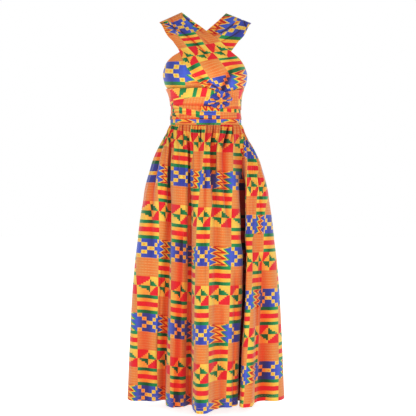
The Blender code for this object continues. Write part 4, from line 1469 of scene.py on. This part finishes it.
STITCHES = stitch_tree()
print("stitch tree has", len(STITCHES.nodes), "nodes")


# %% Rows of stitches
STITCH_SPACING = 0.0036


def stitch_points(rows):
    """Middle of each stitch along rows of points, and the way it points."""
    places = []
    ways = []
    for row in rows:
        along = lengths_across(row[None])[0]
        marks = np.arange(0.5, int(along[-1] / STITCH_SPACING)) * STITCH_SPACING
        ahead = np.minimum(marks + 0.001, along[-1])
        points = np.stack([np.interp(marks, along, row[:, axis]) for axis in range(3)], axis=-1)
        later = np.stack([np.interp(ahead, along, row[:, axis]) for axis in range(3)], axis=-1)
        places.append(points)
        ways.append(later - points)
    return np.concatenate(places), np.concatenate(ways)


def stitched(name, rows):
    """Stitches along rows of points that lie on a cloth's outer side."""
    places, ways = stitch_points(rows)
    mesh = bpy.data.meshes.new(name + "_row")
    mesh.from_pydata(places.tolist(), [], [])
    held = mesh.attributes.new("way", "FLOAT_VECTOR", "POINT")
    held.data.foreach_set("vector", ways.ravel())
    row_object = bpy.data.objects.new(name + "_row", mesh)
    bpy.context.scene.collection.objects.link(row_object)
    row_object.modifiers.new("stitches", "NODES").node_group = STITCHES
    ready = row_object.evaluated_get(bpy.context.evaluated_depsgraph_get())
    made = bpy.data.meshes.new_from_object(ready)
    bpy.data.objects.remove(row_object)
    made.name = name
    made.shade_smooth()
    piece = bpy.data.objects.new(name, made)
    bpy.context.scene.collection.objects.link(piece)
    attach(piece, "root")
    print(name, len(places), "stitches,", len(made.polygons), "faces")
    return piece


hem_front_stitches = stitched("hem_front_stitches", [hem_front])
hem_side_stitches = stitched("hem_side_stitches", [hem_side])
hem_back_stitches = stitched("hem_back_stitches", [hem_back])
band_stitches = stitched("waistband_stitches", band_rows)
left_stitches = stitched("strap_left_stitches", left_edges)
right_stitches = stitched("strap_right_stitches", right_edges)

# %% [markdown]
# ## Cloth pieces
# The dress is made of ten pieces of cloth. A panel's width is its hem's length along the folds,
# because gathers draw up a straight cut.

# %% Cloth pieces
print("cloth pieces: 10")

# %% [markdown]
# ## Studio
# The photo is a bright cut-out with little shadow. Wide soft lights all round and a white surround
# give that, with the strongest light in front so that the folds stay full of colour. A single sun
# would cut hard shadows into them. The camera stands 3.5 m in front, level with the middle.

# %% Floor and surround
FLOOR_REACH = 20.0
FLOOR_HEIGHT = -1.44
corners = [(-1, -1), (1, -1), (1, 1), (-1, 1)]
floor_mesh = bpy.data.meshes.new("floor")
floor_mesh.from_pydata(
    [(x * FLOOR_REACH, y * FLOOR_REACH, FLOOR_HEIGHT) for x, y in corners], [], [(0, 1, 2, 3)]
)
floor = bpy.data.objects.new("floor", floor_mesh)
bpy.context.scene.collection.objects.link(floor)
pale = bpy.data.materials.new("pale_floor")
pale.use_nodes = True
surface = pale.node_tree.nodes["Principled BSDF"].inputs
surface["Base Color"].default_value = (0.95, 0.95, 0.95, 1.0)
surface["Emission Color"].default_value = (1.0, 1.0, 1.0, 1.0)
surface["Emission Strength"].default_value = 0.80
surface["Roughness"].default_value = 0.9
floor_mesh.materials.append(pale)

world = bpy.data.worlds.new("studio")
bpy.context.scene.world = world
world.use_nodes = True
surround = NodeMaker(world.node_tree)
rays = surround.add("ShaderNodeLightPath", {}, {}).outputs["Is Camera Ray"]
strength = surround.add("ShaderNodeMapRange", {}, {"Value": rays, "To Min": 0.34, "To Max": 1.0})
sky = world.node_tree.nodes["Background"]
sky.inputs["Color"].default_value = (1.0, 1.0, 1.0, 1.0)
world.node_tree.links.new(strength.outputs[0], sky.inputs["Strength"])
print("floor at", FLOOR_HEIGHT)


# %% Lights
LIGHT_AIM = (0.0, 0.0, -0.7)
LIGHT_SIZE = 1.6
LIGHTS = [
    # name, place, power
    ("key_front", (0.5, -4.2, 0.2), 66.0),
    ("key_left", (-2.4, -2.6, 0.4), 20.0),
    ("key_right", (2.3, -2.7, 0.2), 14.0),
    ("back_left", (-2.2, 2.8, 0.3), 40.0),
    ("back_right", (2.4, 2.6, 0.3), 40.0),
]


def soft_light(name, place, power):
    """A wide square light that looks at the middle of the dress."""
    light = bpy.data.lights.new(name, "AREA")
    light.shape = "SQUARE"
    light.size = LIGHT_SIZE
    light.energy = power
    lamp = bpy.data.objects.new(name, light)
    bpy.context.scene.collection.objects.link(lamp)
    lamp.location = place
    toward = np.array(LIGHT_AIM) - np.array(place)
    tilt = math.atan2(toward[2], math.hypot(toward[0], toward[1]))
    lamp.rotation_euler = (math.radians(90.0) + tilt, 0.0, -math.atan2(toward[0], toward[1]))


for name, place, power in LIGHTS:
    soft_light(name, place, power)
bpy.context.scene.view_settings.view_transform = "Standard"
print("lights", len(LIGHTS))

# %% Camera
camera_data = bpy.data.cameras.new("camera")
camera_data.sensor_width = 36.0
camera_data.lens = 81.9
camera = bpy.data.objects.new("camera", camera_data)
bpy.context.scene.collection.objects.link(camera)
camera.location = (0.0074, -3.5, -0.7005)
camera.rotation_euler = (math.radians(90.0), 0.0, 0.0)
bpy.context.scene.camera = camera
print("camera at", tuple(camera.location))
